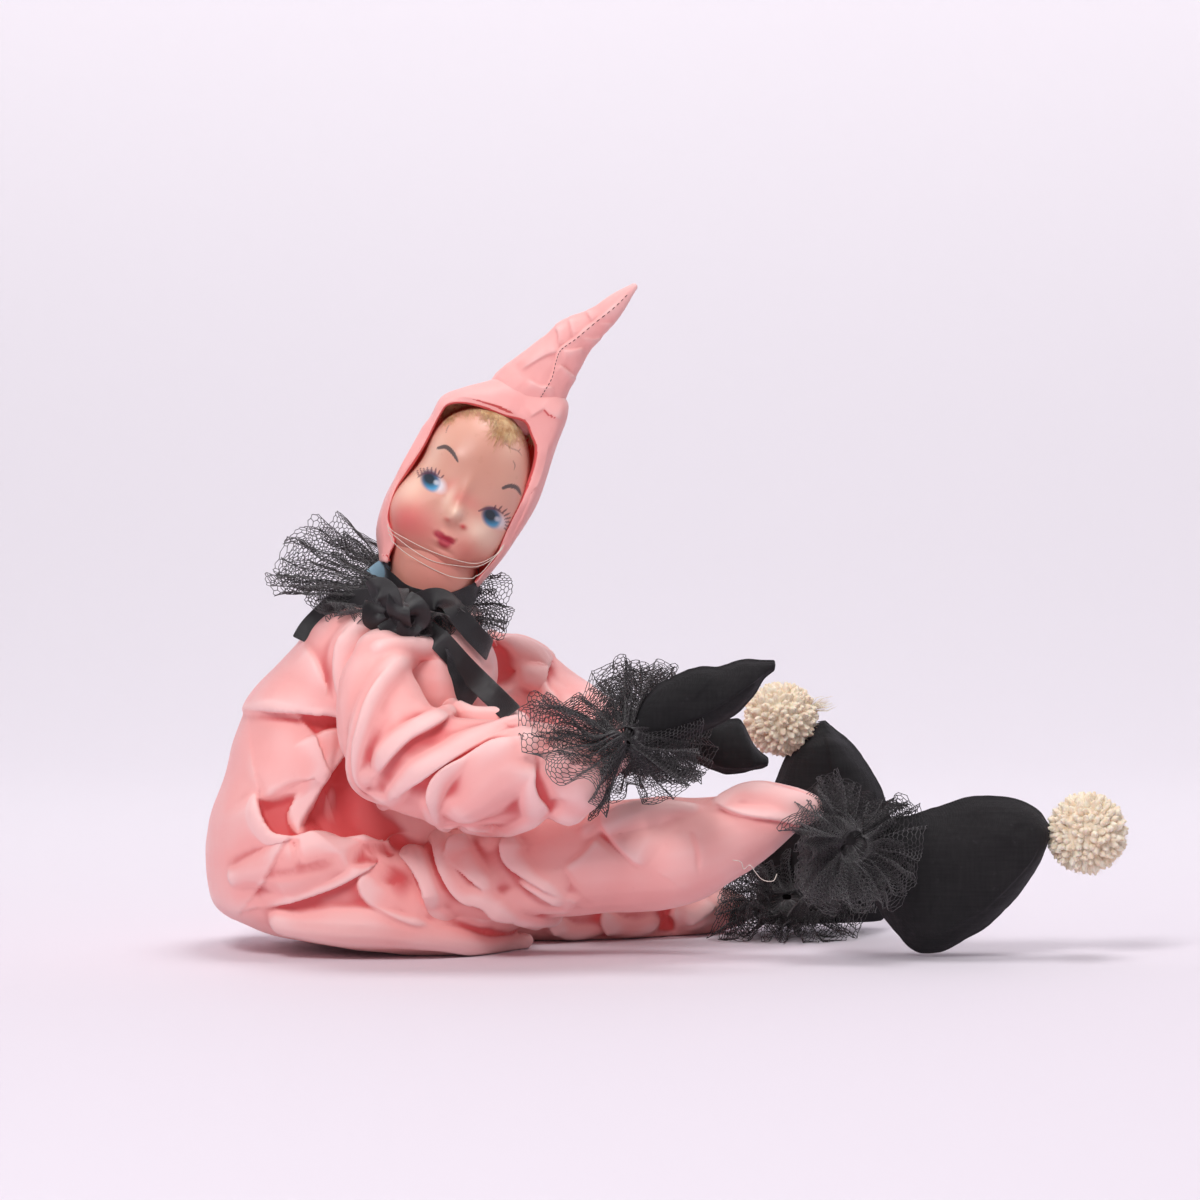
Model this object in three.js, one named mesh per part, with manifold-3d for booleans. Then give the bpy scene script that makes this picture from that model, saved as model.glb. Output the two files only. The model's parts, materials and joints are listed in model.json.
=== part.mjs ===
// A knee hugger elf doll, sitting with its legs out and its face turned to its right-hand side.
// Millimetres, +Z up, +X the way the legs point, -Y the doll's right-hand side.
// The origin is on the floor, at the middle of the seat's flat base.
import * as THREE from "three";
import { mergeVertices } from "three/addons/utils/BufferGeometryUtils.js";
import Module from "manifold-3d";

const wasm = await Module();
wasm.setup();

// Clearances
const CLEAR = 0.3; // between two pieces that touch
const RUNNING = 0.4; // between a ball and the cup that turns on it
const SPARE_ANGLE = 6; // degrees left between two limb ends at a joint's limit

// Seat: the stuffed lower body, a full sack behind a slimmer waist
const SEAT_BACK = 75; // how far the sack stands out behind the origin
const SEAT_FRONT = 36;
const SEAT_HALF_WIDTH = 51;
const SEAT_HEIGHT = 102;
const SEAT_FLAT_DEPTH = 0.5; // how much the floor flattens the base
const WAIST_BACK = 36;
const WAIST_HALF_WIDTH = 35;
const CREASE_RADIUS = 2.4; // half the width of a fold's valley in the sack's cloth

// Chest: the stuffed upper body under the blouse, turned towards the doll's right
const CHEST_HEIGHT = 44;
const CHEST_HALF_WIDTH = 45;
const CHEST_HALF_DEPTH = 34;
const CHEST_TURN = 31;
const CHEST_AHEAD = 20; // forward of the seat's base
const SHOULDER_GAP = 4; // from the chest's side to the shoulder joint
const CAPE_BACK = 58; // the blouse stands out behind the origin as a cape
const CAPE_FRONT = 12;
const CAPE_HALF_WIDTH = 42;

// Neck and head
const NECK_LEAN = 10;
const NECK_RADIUS = 17.5;
const NECK_WALL = 2.4;
const STUMP_LENGTH = 22;
const STUMP_ROOT = 6; // how deep the stump stands in the blouse
const HEAD_LEAN = 28;
const HEAD_TURN = 6;
const HEAD_RISE = 54; // from the neck joint to the middle of the head
const HEAD_HALF_WIDTH = 29;
const HEAD_CROWN = 38;
const HEAD_CHIN = 36;
const FACE_DEPTH = 27;
const HEAD_BACK_DEPTH = 31;
const HEAD_WALL = 2.6;
const HOOD_EASE = 0.8; // room between the head and the hood
const HOOD_THICKNESS = 2.4;
const FACE_OPENING_HALF_WIDTH = 25;
const FACE_OPENING_HALF_HEIGHT = 36;
const HOOD_SKIRT = 16.5; // height of the hood's lower edge above the neck joint
const FRINGE_THICKNESS = 1.8;
const PEAK_ROOT_LENGTH = 20; // from the crown to the kink
const PEAK_LENGTH = 56;
const PEAK_RADIUS = 17;
const PEAK_LEAN = 44;
const PEAK_BALL = 4;
const THREAD_RADIUS = 0.35;

// Ribbon and neck ruff
const RIBBON_WIDTH = 10;
const RIBBON_THICKNESS = 0.8;
const RIBBON_OFF = 4.4; // from the blouse to the middle of a tail
const KNOT_RADIUS = 6.5;
const KNOT_TURN = 232; // round the neck from +X
const RUFF_REACH = 40;
const RUFF_LIFT = 24; // how far the ruff stands up behind the hood
const NET_THICKNESS = 0.9;

// Arms
const UPPER_ARM_LENGTH = 54;
const UPPER_ARM_RADIUS = 22;
const FOREARM_LENGTH = { right: 90, left: 78 }; // the left sleeve is pushed up
const FOREARM_RADIUS = { right: 25, left: 22 };
const SHOULDER_BALL = 7;
const ELBOW_BALL = 4;
const WRIST_BALL = 3.5;
const CUFF_REACH = 22;
const MITT_LENGTH = 78;
const MITT_HALF_WIDTH = 15;
const MITT_HALF_THICKNESS = 9;

// Legs
const THIGH_LENGTH = 72;
const THIGH_RADIUS = 25;
const SHIN_LENGTH = { right: 123, left: 92 }; // the left trouser leg is pushed up
const SHIN_RADIUS = { right: 25, left: 21 };
const SHIN_BOW = { right: 6, left: 0 };
const HIP_BALL = 6;
const KNEE_BALL = 5;
const ANKLE_BALL = 4.5;
const ANKLE_REACH = 30;
const BOOT_LENGTH = 80;
const BOOT_HALF_THICKNESS = 16;
const POMPOM_RADIUS = 16;
const TIE_LENGTH = 4.5;
const TIE_RADIUS = 1.5;
const TIE_ROOT = 3; // how deep the tie stands in the toe

const SLEEVE_GATHER = 7.5; // half the bunched net at a wrist
const ANKLE_GATHER = 9;

// Limb ends: half-angles of their cones
const OUTER_CONE = 68;
const CUFF_CONE = 40;

// Joint ranges, in degrees from the pose as it sits
const RANGES = {
  neck: [-25, 25],
  shoulder: [0, 25], // raises the arm
  elbow: [-6, 18], // folds the forearm up
  wrist: [-15, 15],
  hip: { right: [0, 10], left: [0, 25] }, // spreads the leg
  knee: [0, 25], // bends the knee
  ankle: [-12, 12],
  pompom: [-12, 12],
  peak: [-15, 15],
};

const vec = (x, y, z) => new THREE.Vector3(x, y, z);
const rad = THREE.MathUtils.degToRad;
const UP = vec(0, 0, 1);
const SIDES = ["right", "left"];

// The unit vector that points yaw degrees round from +X and pitch degrees above level.
function heading(yaw, pitch) {
  const level = Math.cos(rad(pitch));
  return vec(level * Math.cos(rad(yaw)), level * Math.sin(rad(yaw)), Math.sin(rad(pitch)));
}

function along(start, direction, distance) {
  return start.clone().addScaledVector(direction, distance);
}

// A frame at a place whose Z follows axis and whose X is as near to the hint as it can be.
function frameAt(place, axis, hint) {
  const z = axis.clone().normalize();
  const x = hint.clone().addScaledVector(z, -hint.dot(z)).normalize();
  const y = z.clone().cross(x);
  return new THREE.Matrix4().makeBasis(x, y, z).setPosition(place);
}

// Closed surface from rings of points and one end point at each end.
function skin(rings, first, last) {
  const around = rings[0].length;
  const points = [first, ...rings.flat(), last];
  const index = [];
  const at = (ring, i) => 1 + ring * around + (i % around);
  for (let i = 0; i < around; i++) {
    index.push(0, at(0, i + 1), at(0, i));
    index.push(points.length - 1, at(rings.length - 1, i), at(rings.length - 1, i + 1));
    for (let ring = 0; ring + 1 < rings.length; ring++) {
      index.push(at(ring, i), at(ring, i + 1), at(ring + 1, i));
      index.push(at(ring, i + 1), at(ring + 1, i + 1), at(ring + 1, i));
    }
  }
  const geometry = new THREE.BufferGeometry().setFromPoints(points);
  geometry.setIndex(index);
  return geometry;
}

// The solid of a closed geometry, turned the right way out.
function solid(geometry) {
  const bare = new THREE.BufferGeometry();
  bare.setAttribute("position", geometry.getAttribute("position"));
  if (geometry.index) bare.setIndex(geometry.index);
  const merged = mergeVertices(bare, 1e-3);
  const triVerts = new Uint32Array(merged.index.array);
  const make = () =>
    new wasm.Manifold(
      new wasm.Mesh({ numProp: 3, vertProperties: merged.attributes.position.array, triVerts }),
    );
  const made = make();
  if (made.volume() > 0) return made;
  for (let i = 0; i < triVerts.length; i += 3) {
    [triVerts[i + 1], triVerts[i + 2]] = [triVerts[i + 2], triVerts[i + 1]];
  }
  return make();
}

function placed(shape, matrix) {
  return shape.transform(matrix.elements);
}

// The biggest connected body that is left after the cuts.
function cut(shape, ...tools) {
  const left = tools.flat().reduce((rest, tool) => rest.subtract(tool), shape);
  return left.decompose().sort((a, b) => b.volume() - a.volume())[0];
}

function ball(centre, radius, across = 12) {
  const sphere = new THREE.SphereGeometry(radius, across, across / 2);
  sphere.translate(centre.x, centre.y, centre.z);
  return solid(sphere);
}

// The cup for a ball of this radius: its flats clear the ball's corners.
function cup(centre, radius, across = 12) {
  return ball(centre, (radius + RUNNING) / Math.cos(Math.PI / across) ** 2, across);
}

// A half space: a big box with one face through the place, on the side away from the normal.
function halfSpace(place, normal, size = 600) {
  const box = new THREE.BoxGeometry(size, size, size);
  box.translate(0, 0, -size / 2);
  return placed(solid(box), frameAt(place, normal, vec(0.3, 0.9, 0.2)));
}

// What a shape passes through as it turns about an axis through its range.
function swept(shape, pivot, axis, [low, high], step = 6) {
  const count = Math.max(1, Math.ceil((high - low) / step));
  let all = shape;
  for (let i = 0; i <= count; i++) {
    const turn = new THREE.Matrix4().makeRotationAxis(axis, rad(low + ((high - low) * i) / count));
    const move = new THREE.Matrix4().makeTranslation(pivot);
    const back = new THREE.Matrix4().makeTranslation(pivot.clone().negate());
    all = all.add(placed(shape, move.multiply(turn).multiply(back)));
  }
  return all;
}

// A stuffed limb between two joints. Each end narrows to a cone, blunt on the outside of the bend
// and sharp on its inside, so that the next limb has room to turn. The folds are soft rolls
// across the limb, as full cloth makes when it is pushed up.
function stuffedLimb(options) {
  const { from, to, radius, start, end, grow = 0, flat = 1, bow = 0 } = options;
  const { around = 12, steps = 10, folds = 0, foldDepth = 0, slant = 0.9 } = options;
  const span = from.distanceTo(to);
  const axis = to.clone().sub(from).normalize();
  const side = axis.clone().cross(UP).normalize();
  const up = side.clone().cross(axis);
  const cone = (tip, out, distance) => {
    const inner = tip.toward ? Math.max(0, (1 + out.dot(tip.toward)) / 2) ** 1.2 : 0;
    return distance * Math.tan(rad(tip.outer + (tip.inner - tip.outer) * inner));
  };
  const rings = [];
  for (let step = 1; step < steps; step++) {
    const share = (1 - Math.cos((Math.PI * step) / steps)) / 2;
    const arch = bow * Math.sin(Math.PI * share ** 1.3) ** 2;
    const middle = along(from, axis, share * span).addScaledVector(up, arch);
    const full = radius(share);
    const crease = folds * share + slant / Math.PI;
    rings.push(
      Array.from({ length: around }, (_, i) => {
        const turn = (2 * Math.PI * i) / around;
        const out = side.clone().multiplyScalar(Math.cos(turn)).addScaledVector(up, Math.sin(turn));
        const lengths = [
          cone(start, out, share * span),
          cone(end, out, (1 - share) * span),
          full * (1 - (1 - flat) * Math.abs(Math.cos(turn)) ** 2),
        ];
        const reach = lengths.reduce((sum, x) => sum + x ** -4, 0) ** -0.25;
        const pillow = Math.abs(Math.sin(Math.PI * crease + slant * Math.sin(turn + 0.7))) - 0.8;
        const roll = foldDepth * pillow * (reach / full) ** 3;
        return middle.clone().addScaledVector(out, reach + roll + grow);
      }),
    );
  }
  return solid(skin(rings, along(from, axis, -grow), along(to, axis, grow)));
}

// One stuffed half of a flat sewn shape: an outline in XY, blown up to one side of the seam.
function sewnHalf(outline, thickness, direction, around = 26, layers = 5) {
  const curve = new THREE.CatmullRomCurve3(
    outline.map(([x, y]) => vec(x, y, 0)),
    true,
    "centripetal",
  );
  const rim = curve.getSpacedPoints(around).slice(0, around);
  const middle = rim.reduce((sum, p) => sum.add(p), vec(0, 0, 0)).multiplyScalar(1 / around);
  const seam = (direction * CLEAR) / 2;
  const rings = [];
  for (let layer = 0; layer < layers; layer++) {
    const angle = (Math.PI / 2) * (1 - layer / layers);
    const height = seam + direction * thickness * Math.cos(angle);
    rings.push(rim.map((p) => middle.clone().lerp(p, Math.sin(angle) ** 0.8).setZ(height)));
  }
  const top = middle.clone().setZ(seam + direction * thickness);
  return solid(skin(rings, middle.clone().setZ(seam), top));
}

// A gathered frill round the Z axis: a thin sheet that waves more and more towards its rim.
function frill({ inner, reach, waves, wave, dish, around = 36, steps = 2 }) {
  const sheet = (side) =>
    Array.from({ length: steps + 1 }, (_, step) => {
      const share = step / steps;
      return Array.from({ length: around }, (_, i) => {
        const turn = (2 * Math.PI * i) / around;
        const out = inner + reach(turn) * share;
        const ripple = wave * share * (Math.sin(waves * turn) + 0.3 * Math.sin((waves + 4) * turn + 1));
        const height = dish(turn) * share ** 1.4 + ripple + side * (NET_THICKNESS / 2);
        return vec(out * Math.cos(turn), out * Math.sin(turn), height);
      });
    });
  const loop = [...sheet(1), ...sheet(-1).reverse()];
  const index = [];
  for (let row = 0; row < loop.length; row++) {
    for (let i = 0; i < around; i++) {
      const next = (i + 1) % around;
      const below = ((row + 1) % loop.length) * around;
      index.push(row * around + i, row * around + next, below + i);
      index.push(row * around + next, below + next, below + i);
    }
  }
  const geometry = new THREE.BufferGeometry().setFromPoints(loop.flat());
  geometry.setIndex(index);
  return solid(geometry);
}

// A ring round the Z axis with a rectangular section.
function band(inner, thickness, height, around = 32) {
  const profile = [
    [inner, -height / 2],
    [inner + thickness, -height / 2],
    [inner + thickness, height / 2],
    [inner, height / 2],
    [inner, -height / 2],
  ].map(([r, z]) => new THREE.Vector2(r, z));
  const ring = new THREE.LatheGeometry(profile, around);
  ring.rotateX(Math.PI / 2);
  return solid(ring);
}

// A flat ribbon along a route. Its face looks along the facing direction.
function ribbon(points, facing, steps = 10) {
  const route = new THREE.CatmullRomCurve3(points);
  const corners = [
    [-1, -1],
    [1, -1],
    [1, 1],
    [-1, 1],
  ];
  const rings = Array.from({ length: steps + 1 }, (_, step) => {
    const place = route.getPoint(step / steps);
    const tangent = route.getTangent(step / steps);
    const across = tangent.clone().cross(facing).normalize();
    const out = across.clone().cross(tangent).normalize();
    return corners.map(([a, b]) =>
      place
        .clone()
        .addScaledVector(across, (a * RIBBON_WIDTH) / 2)
        .addScaledVector(out, (b * RIBBON_THICKNESS) / 2),
    );
  });
  const middle = (ring) =>
    ring.reduce((sum, p) => sum.add(p), vec(0, 0, 0)).multiplyScalar(1 / ring.length);
  return solid(skin(rings, middle(rings[0]), middle(rings[steps])));
}

// A thin thread along a route
function thread(points, radius, steps = 9) {
  const section = new THREE.Shape();
  section.absarc(0, 0, radius, 0, 2 * Math.PI);
  const path = new THREE.CatmullRomCurve3(points);
  const options = { steps, curveSegments: 3, bevelEnabled: false, extrudePath: path };
  return solid(new THREE.ExtrudeGeometry(section, options));
}

// The group and its materials
const doll = new THREE.Group();
const finish = (color, roughness) => new THREE.MeshStandardMaterial({ color, roughness, metalness: 0 });
const pinkSatin = () => finish(0xf29a9c, 0.45);
const blackNet = () => finish(0x17131a, 0.9);
const blackRibbon = () => finish(0x1c191c, 0.4);
const blackFelt = () => finish(0x1a181a, 0.95);
const creamYarn = () => finish(0xead3b4, 0.95);
const skinVinyl = () => finish(0xe2a48c, 0.35);
const blondHair = () => finish(0xc9a071, 0.7);
const blueCloth = () => finish(0x9cc4dc, 0.8);
const clearThread = () => finish(0xe8dfd4, 0.3);

function add(name, shape, material) {
  const mesh = shape.getMesh();
  const geometry = new THREE.BufferGeometry();
  const place = new Float32Array(mesh.numVert * 3);
  for (let i = 0; i < mesh.numVert; i++) {
    place.set(mesh.vertProperties.subarray(i * mesh.numProp, i * mesh.numProp + 3), i * 3);
  }
  geometry.setAttribute("position", new THREE.BufferAttribute(place, 3));
  geometry.setIndex(new THREE.BufferAttribute(mesh.triVerts, 1));
  geometry.computeVertexNormals();
  const node = new THREE.Mesh(geometry, material());
  node.name = name;
  doll.add(node);
  return shape;
}

// Body sections, each a squared oval at its own height, turned about the vertical.
function torsoSolid(sections, turn, square = 2, around = 24) {
  const side = heading(90 - turn, 0);
  const front = vec(side.y, -side.x, 0);
  const squared = (share) => Math.sign(share) * Math.abs(share) ** (2 / square);
  const rings = sections.map(({ z, x, wide, deep }) =>
    Array.from({ length: around }, (_, i) => {
      const angle = (2 * Math.PI * i) / around;
      return vec(x, 0, z)
        .addScaledVector(side, wide * squared(Math.sin(angle)))
        .addScaledVector(front, deep * squared(Math.cos(angle)));
    }),
  );
  const first = sections[0];
  const last = sections[sections.length - 1];
  return solid(skin(rings, vec(first.x, 0, first.z), vec(last.x, 0, last.z)));
}

// A section that reaches from one place to another along X.
function reaching(z, back, front, wide) {
  return { z, x: (front - back) / 2, deep: (front + back) / 2, wide };
}

// The point on a solid's side that faces the doll's right or left, this far off its surface.
function onSide(shape, side, x, z, off) {
  const probe = solid(new THREE.BoxGeometry(1, 300, 1).translate(x, 0, z));
  const touched = shape.intersect(probe).boundingBox();
  return vec(x, side === "right" ? touched.min[1] - off : touched.max[1] + off, z);
}

// Places of the joints and directions of the limbs, as the doll sits
const CHEST_FOOT = SEAT_HEIGHT + CLEAR;
const neckAxis = heading(0, 90 - NECK_LEAN);
const neckJoint = vec(CHEST_AHEAD + 6.5, -6, CHEST_FOOT + CHEST_HEIGHT);
const neckFrame = frameAt(neckJoint, neckAxis, vec(1, 0, 0));
const headMiddle = along(neckJoint, neckAxis, HEAD_RISE);
const headFrame = new THREE.Matrix4()
  .makeRotationY(rad(HEAD_LEAN))
  .multiply(new THREE.Matrix4().makeRotationZ(rad(HEAD_TURN)))
  .setPosition(headMiddle);
const inHead = (x, y, z) => vec(x, y, z).applyMatrix4(headFrame);

const outward = { right: vec(0, -1, 0), left: vec(0, 1, 0) };
const toLeft = heading(90 - CHEST_TURN, 0);
const shoulderOut = CHEST_HALF_WIDTH + SHOULDER_GAP;
const aims = {
  right: {
    shoulder: along(vec(CHEST_AHEAD + 3, -3, SEAT_HEIGHT + 24), toLeft, -shoulderOut),
    upper: heading(-54, -66),
    fore: heading(-2, 4),
    mitt: heading(3, 33),
    hip: vec(12, -26, 31),
    thigh: heading(-2, 5),
    shin: heading(-1, 5),
    foot: 44,
    footYaw: -2,
    pompom: vec(0.97, 0, -0.24),
  },
  left: {
    shoulder: along(vec(CHEST_AHEAD - 6, -1, SEAT_HEIGHT + 16), toLeft, shoulderOut),
    upper: heading(58, -4),
    fore: heading(-55, -14),
    mitt: heading(-34, -12),
    hip: vec(12, 26, 27.5),
    thigh: heading(12, -2),
    shin: heading(20, -4.5),
    foot: 112,
    footYaw: 12,
    pompom: vec(-0.62, -0.55, 0.56),
  },
};
const joints = {};
for (const side of SIDES) {
  const aim = aims[side];
  const elbow = along(aim.shoulder, aim.upper, UPPER_ARM_LENGTH);
  const knee = along(aim.hip, aim.thigh, THIGH_LENGTH);
  joints[side] = {
    shoulder: aim.shoulder,
    elbow,
    wrist: along(elbow, aim.fore, FOREARM_LENGTH[side]),
    hip: aim.hip,
    knee,
    ankle: along(knee, aim.shin, SHIN_LENGTH[side]),
  };
}
const raiseAxis = vec(0, -1, 0);
const elbowAxis = (side) => aims[side].upper.clone().cross(aims[side].fore).normalize();
const spreadAxis = { right: vec(0, 0, -1), left: vec(0, 0, 1) };
const kneeAxis = (side) => aims[side].shin.clone().cross(UP).normalize().negate();

// The end cones of two limbs that meet, from the angle left between them.
function meeting(inward, outwards, range, axis) {
  const between = 180 - THREE.MathUtils.radToDeg(inward.angleTo(outwards));
  const closing = Math.max(...range);
  const inner = Math.min(OUTER_CONE, (between - closing - SPARE_ANGLE) / 2);
  return {
    end: { outer: OUTER_CONE, inner, toward: axis.clone().cross(inward).normalize() },
    start: { outer: OUTER_CONE, inner, toward: axis.clone().cross(outwards).normalize() },
  };
}
const blunt = { outer: OUTER_CONE, inner: OUTER_CONE };
const cuffEnd = { outer: CUFF_CONE, inner: CUFF_CONE };

function upperArm(side, extra = {}) {
  const { shoulder, elbow } = joints[side];
  const { upper, fore } = aims[side];
  return stuffedLimb({
    from: shoulder,
    to: elbow,
    radius: () => UPPER_ARM_RADIUS,
    flat: 0.84,
    start: blunt,
    end: meeting(upper, fore, RANGES.elbow, elbowAxis(side)).end,
    folds: 2,
    foldDepth: 2.4,
    ...extra,
  });
}

function forearm(side, extra = {}) {
  const { elbow, wrist } = joints[side];
  const { upper, fore } = aims[side];
  return stuffedLimb({
    from: elbow,
    to: wrist,
    radius: (share) => FOREARM_RADIUS[side] * (1 - 0.3 * share ** 2),
    flat: 0.84,
    start: meeting(upper, fore, RANGES.elbow, elbowAxis(side)).start,
    end: cuffEnd,
    folds: 4,
    foldDepth: 3,
    slant: 1.1,
    steps: 15,
    ...extra,
  });
}

function thigh(side, extra = {}) {
  const { hip, knee } = joints[side];
  const { thigh: inward, shin } = aims[side];
  return stuffedLimb({
    from: hip,
    to: knee,
    radius: () => THIGH_RADIUS,
    flat: 0.8,
    start: blunt,
    end: meeting(inward, shin, RANGES.knee, kneeAxis(side)).end,
    folds: 3,
    foldDepth: 2.6,
    ...extra,
  });
}

function shin(side, extra = {}) {
  const { knee, ankle } = joints[side];
  const { thigh: inward, shin: outwards } = aims[side];
  return stuffedLimb({
    from: knee,
    to: ankle,
    radius: (share) => SHIN_RADIUS[side] * (1 - 0.5 * share ** 2),
    flat: 0.84,
    bow: SHIN_BOW[side],
    start: meeting(inward, outwards, RANGES.knee, kneeAxis(side)).start,
    end: cuffEnd,
    folds: 1.2,
    foldDepth: 1.2,
    ...extra,
  });
}

const plain = { foldDepth: 0, around: 10, steps: 8 };
const floor = halfSpace(vec(0, 0, CLEAR), UP);

// The sack swells low down, leans back a little and is flat where it sits.
const SACK_FORM = [
  { rise: 0, back: 0.27, front: 0.55, half: 0.48 },
  { rise: 0.025, back: 0.36, front: 0.92, half: 0.7 },
  { rise: 0.055, back: 0.49, front: 1, half: 0.82 },
  { rise: 0.11, back: 0.74, front: 1, half: 0.9 },
  { rise: 0.185, back: 0.92, front: 1, half: 0.96 },
  { rise: 0.295, back: 0.985, front: 1, half: 1 },
  { rise: 0.42, back: 1, front: 0.98, half: 1 },
  { rise: 0.505, back: 0.985, front: 0.5, half: 0.98 },
  { rise: 0.6, back: 0.96, front: 0.08, half: 0.94 },
  { rise: 0.725, back: 0.9, front: 0, half: 0.9 },
  { rise: 0.895, back: 0.83, front: -0.03, half: 0.84 },
  { rise: 1, back: 0.775, front: -0.06, half: 0.75 },
];
const sackForm = torsoSolid(
  SACK_FORM.map(({ rise, back, front, half }) =>
    reaching(
      rise * (SEAT_HEIGHT + SEAT_FLAT_DEPTH) - SEAT_FLAT_DEPTH,
      back * SEAT_BACK,
      front * SEAT_FRONT,
      half * SEAT_HALF_WIDTH,
    ),
  ),
  0,
  2.4,
  28,
);
const waistForm = torsoSolid(
  [0.2, 0.6, 1].map((rise) => reaching(rise * SEAT_HEIGHT, WAIST_BACK, SEAT_FRONT, WAIST_HALF_WIDTH)),
  0,
  2.4,
  20,
);

// Where the sack's cloth folds over itself on each side: round a pouch, and below it
const CREASES = {
  pouch: [
    { back: 0.73, rise: 0.68 },
    { back: 0.71, rise: 0.57 },
    { back: 0.64, rise: 0.485 },
    { back: 0.545, rise: 0.46 },
    { back: 0.46, rise: 0.48 },
    { back: 0.37, rise: 0.6 },
    { back: 0.28, rise: 0.7 },
    { back: 0.19, rise: 0.8 },
  ],
  below: [
    { back: 0.7, rise: 0.19 },
    { back: 0.48, rise: 0.23 },
    { back: 0.27, rise: 0.29 },
    { back: 0.09, rise: 0.35 },
    { back: -0.06, rise: 0.42 },
  ],
};
const creases = SIDES.flatMap((side) =>
  Object.values(CREASES).map((route) =>
    thread(
      route.map(({ back, rise }) => onSide(sackForm, side, -back * SEAT_BACK, rise * SEAT_HEIGHT, 0)),
      CREASE_RADIUS,
      route.length + 2,
    ),
  ),
);

// The chest under the blouse, turned, and the blouse's cape that stands out behind it
const CHEST_FORM = [
  { rise: 0, wide: 0.94, deep: 1.0, ahead: -6 },
  { rise: 0.12, wide: 0.98, deep: 1.04, ahead: -5 },
  { rise: 0.45, wide: 1, deep: 1.02, ahead: -4 },
  { rise: 0.74, wide: 0.9, deep: 0.9, ahead: -2 },
  { rise: 0.92, wide: 0.66, deep: 0.72, ahead: 1 },
  { rise: 1, wide: 0.48, deep: 0.58, ahead: 3 },
];
const CAPE_FORM = [
  { rise: 0, back: 0.965, half: 0.93 },
  { rise: 0.05, back: 1, half: 1 },
  { rise: 0.22, back: 0.94, half: 1 },
  { rise: 0.4, back: 0.82, half: 0.98 },
  { rise: 0.66, back: 0.64, half: 0.93 },
  { rise: 0.85, back: 0.53, half: 0.84 },
  { rise: 0.95, back: 0.42, half: 0.7 },
  { rise: 1, back: 0.33, half: 0.56 },
];
const chestForm = torsoSolid(
  CHEST_FORM.map(({ rise, wide, deep, ahead }) => ({
    z: CHEST_FOOT + rise * CHEST_HEIGHT,
    x: CHEST_AHEAD + ahead,
    wide: CHEST_HALF_WIDTH * wide,
    deep: CHEST_HALF_DEPTH * deep,
  })),
  CHEST_TURN,
).add(
  torsoSolid(
    CAPE_FORM.map(({ rise, back, half }) =>
      reaching(CHEST_FOOT + rise * CHEST_HEIGHT, back * CAPE_BACK, CAPE_FRONT, half * CAPE_HALF_WIDTH),
    ),
    0,
    2.4,
    32,
  ),
);

// A round post up the neck's axis, from one height to another.
function neckPost(radius, low, high) {
  const post = new THREE.CylinderGeometry(radius, radius, high - low, 24);
  post.rotateX(Math.PI / 2);
  post.translate(0, 0, (low + high) / 2);
  return placed(solid(post), neckFrame);
}

const bandInner = NECK_RADIUS + RUNNING;
const bandLow = -1; // the ribbon's lower edge, up the neck from its joint
const stumpRadius = NECK_RADIUS - NECK_WALL - RUNNING;
const knotOut = bandInner + RIBBON_THICKNESS + CLEAR + KNOT_RADIUS * 0.75;
const inNeck = (x, y, z) => vec(x, y, z).applyMatrix4(neckFrame);
const knotMiddle = inNeck(
  knotOut * Math.cos(rad(KNOT_TURN)),
  knotOut * Math.sin(rad(KNOT_TURN)),
  bandLow + RIBBON_WIDTH / 2 - 2,
);
const knotRoom = ball(knotMiddle, KNOT_RADIUS * 1.05 + CLEAR, 14);
const armPaths = SIDES.map((side) =>
  swept(upperArm(side, { ...plain, grow: 3.8 }), joints[side].shoulder, raiseAxis, RANGES.shoulder),
);
const thighPaths = SIDES.map((side) =>
  swept(thigh(side, { ...plain, grow: 3.8 }), joints[side].hip, spreadAxis[side], RANGES.hip[side]),
);
const clearOfSeat = SIDES.map((side) => forearm(side, { ...plain, grow: 3.8 }));

const seatForm = sackForm.add(waistForm);
let seat = cut(seatForm, halfSpace(vec(0, 0, 0), UP), armPaths, thighPaths, clearOfSeat, creases);
for (const side of SIDES) seat = seat.add(ball(joints[side].hip, HIP_BALL));
let chest = cut(
  chestForm,
  neckPost(stumpRadius + CLEAR, -STUMP_ROOT - CLEAR, 60),
  neckPost(NECK_RADIUS + RUNNING, -CLEAR, 60),
  neckPost(bandInner + RIBBON_THICKNESS + CLEAR, bandLow - CLEAR, 60),
  armPaths,
  knotRoom,
);
for (const side of SIDES) chest = chest.add(ball(joints[side].shoulder, SHOULDER_BALL));
add("seat", seat, pinkSatin);
add("chest", chest, pinkSatin);
add("neck_stump", neckPost(stumpRadius, -STUMP_ROOT, STUMP_LENGTH), blueCloth);

// Ribbon round the neck, its knot and tails, and the net ruff above it
const bandHeight = bandLow + RIBBON_WIDTH / 2;
const bandFrame = frameAt(inNeck(0, 0, bandHeight), neckAxis, vec(1, 0, 0));
add("ribbon_band", placed(band(bandInner, RIBBON_THICKNESS, RIBBON_WIDTH), bandFrame), blackRibbon);

const ruff = frill({
  inner: NECK_RADIUS - 1,
  reach: (turn) =>
    RUFF_REACH * (0.2 + 0.8 * Math.max(0, -Math.cos(turn)) + 0.4 * Math.max(0, Math.cos(turn))),
  dish: (turn) => RUFF_LIFT * Math.max(0, -Math.cos(turn)),
  waves: 8,
  wave: 2.2,
  around: 48,
  steps: 3,
});
const ruffFoot = bandLow + RIBBON_WIDTH + CLEAR + NET_THICKNESS;
const ruffFrame = frameAt(inNeck(0, 0, ruffFoot), neckAxis, vec(1, 0, 0));
add("neck_ruff", cut(placed(ruff, ruffFrame), neckPost(bandInner, -5, 60)), blackNet);

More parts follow.
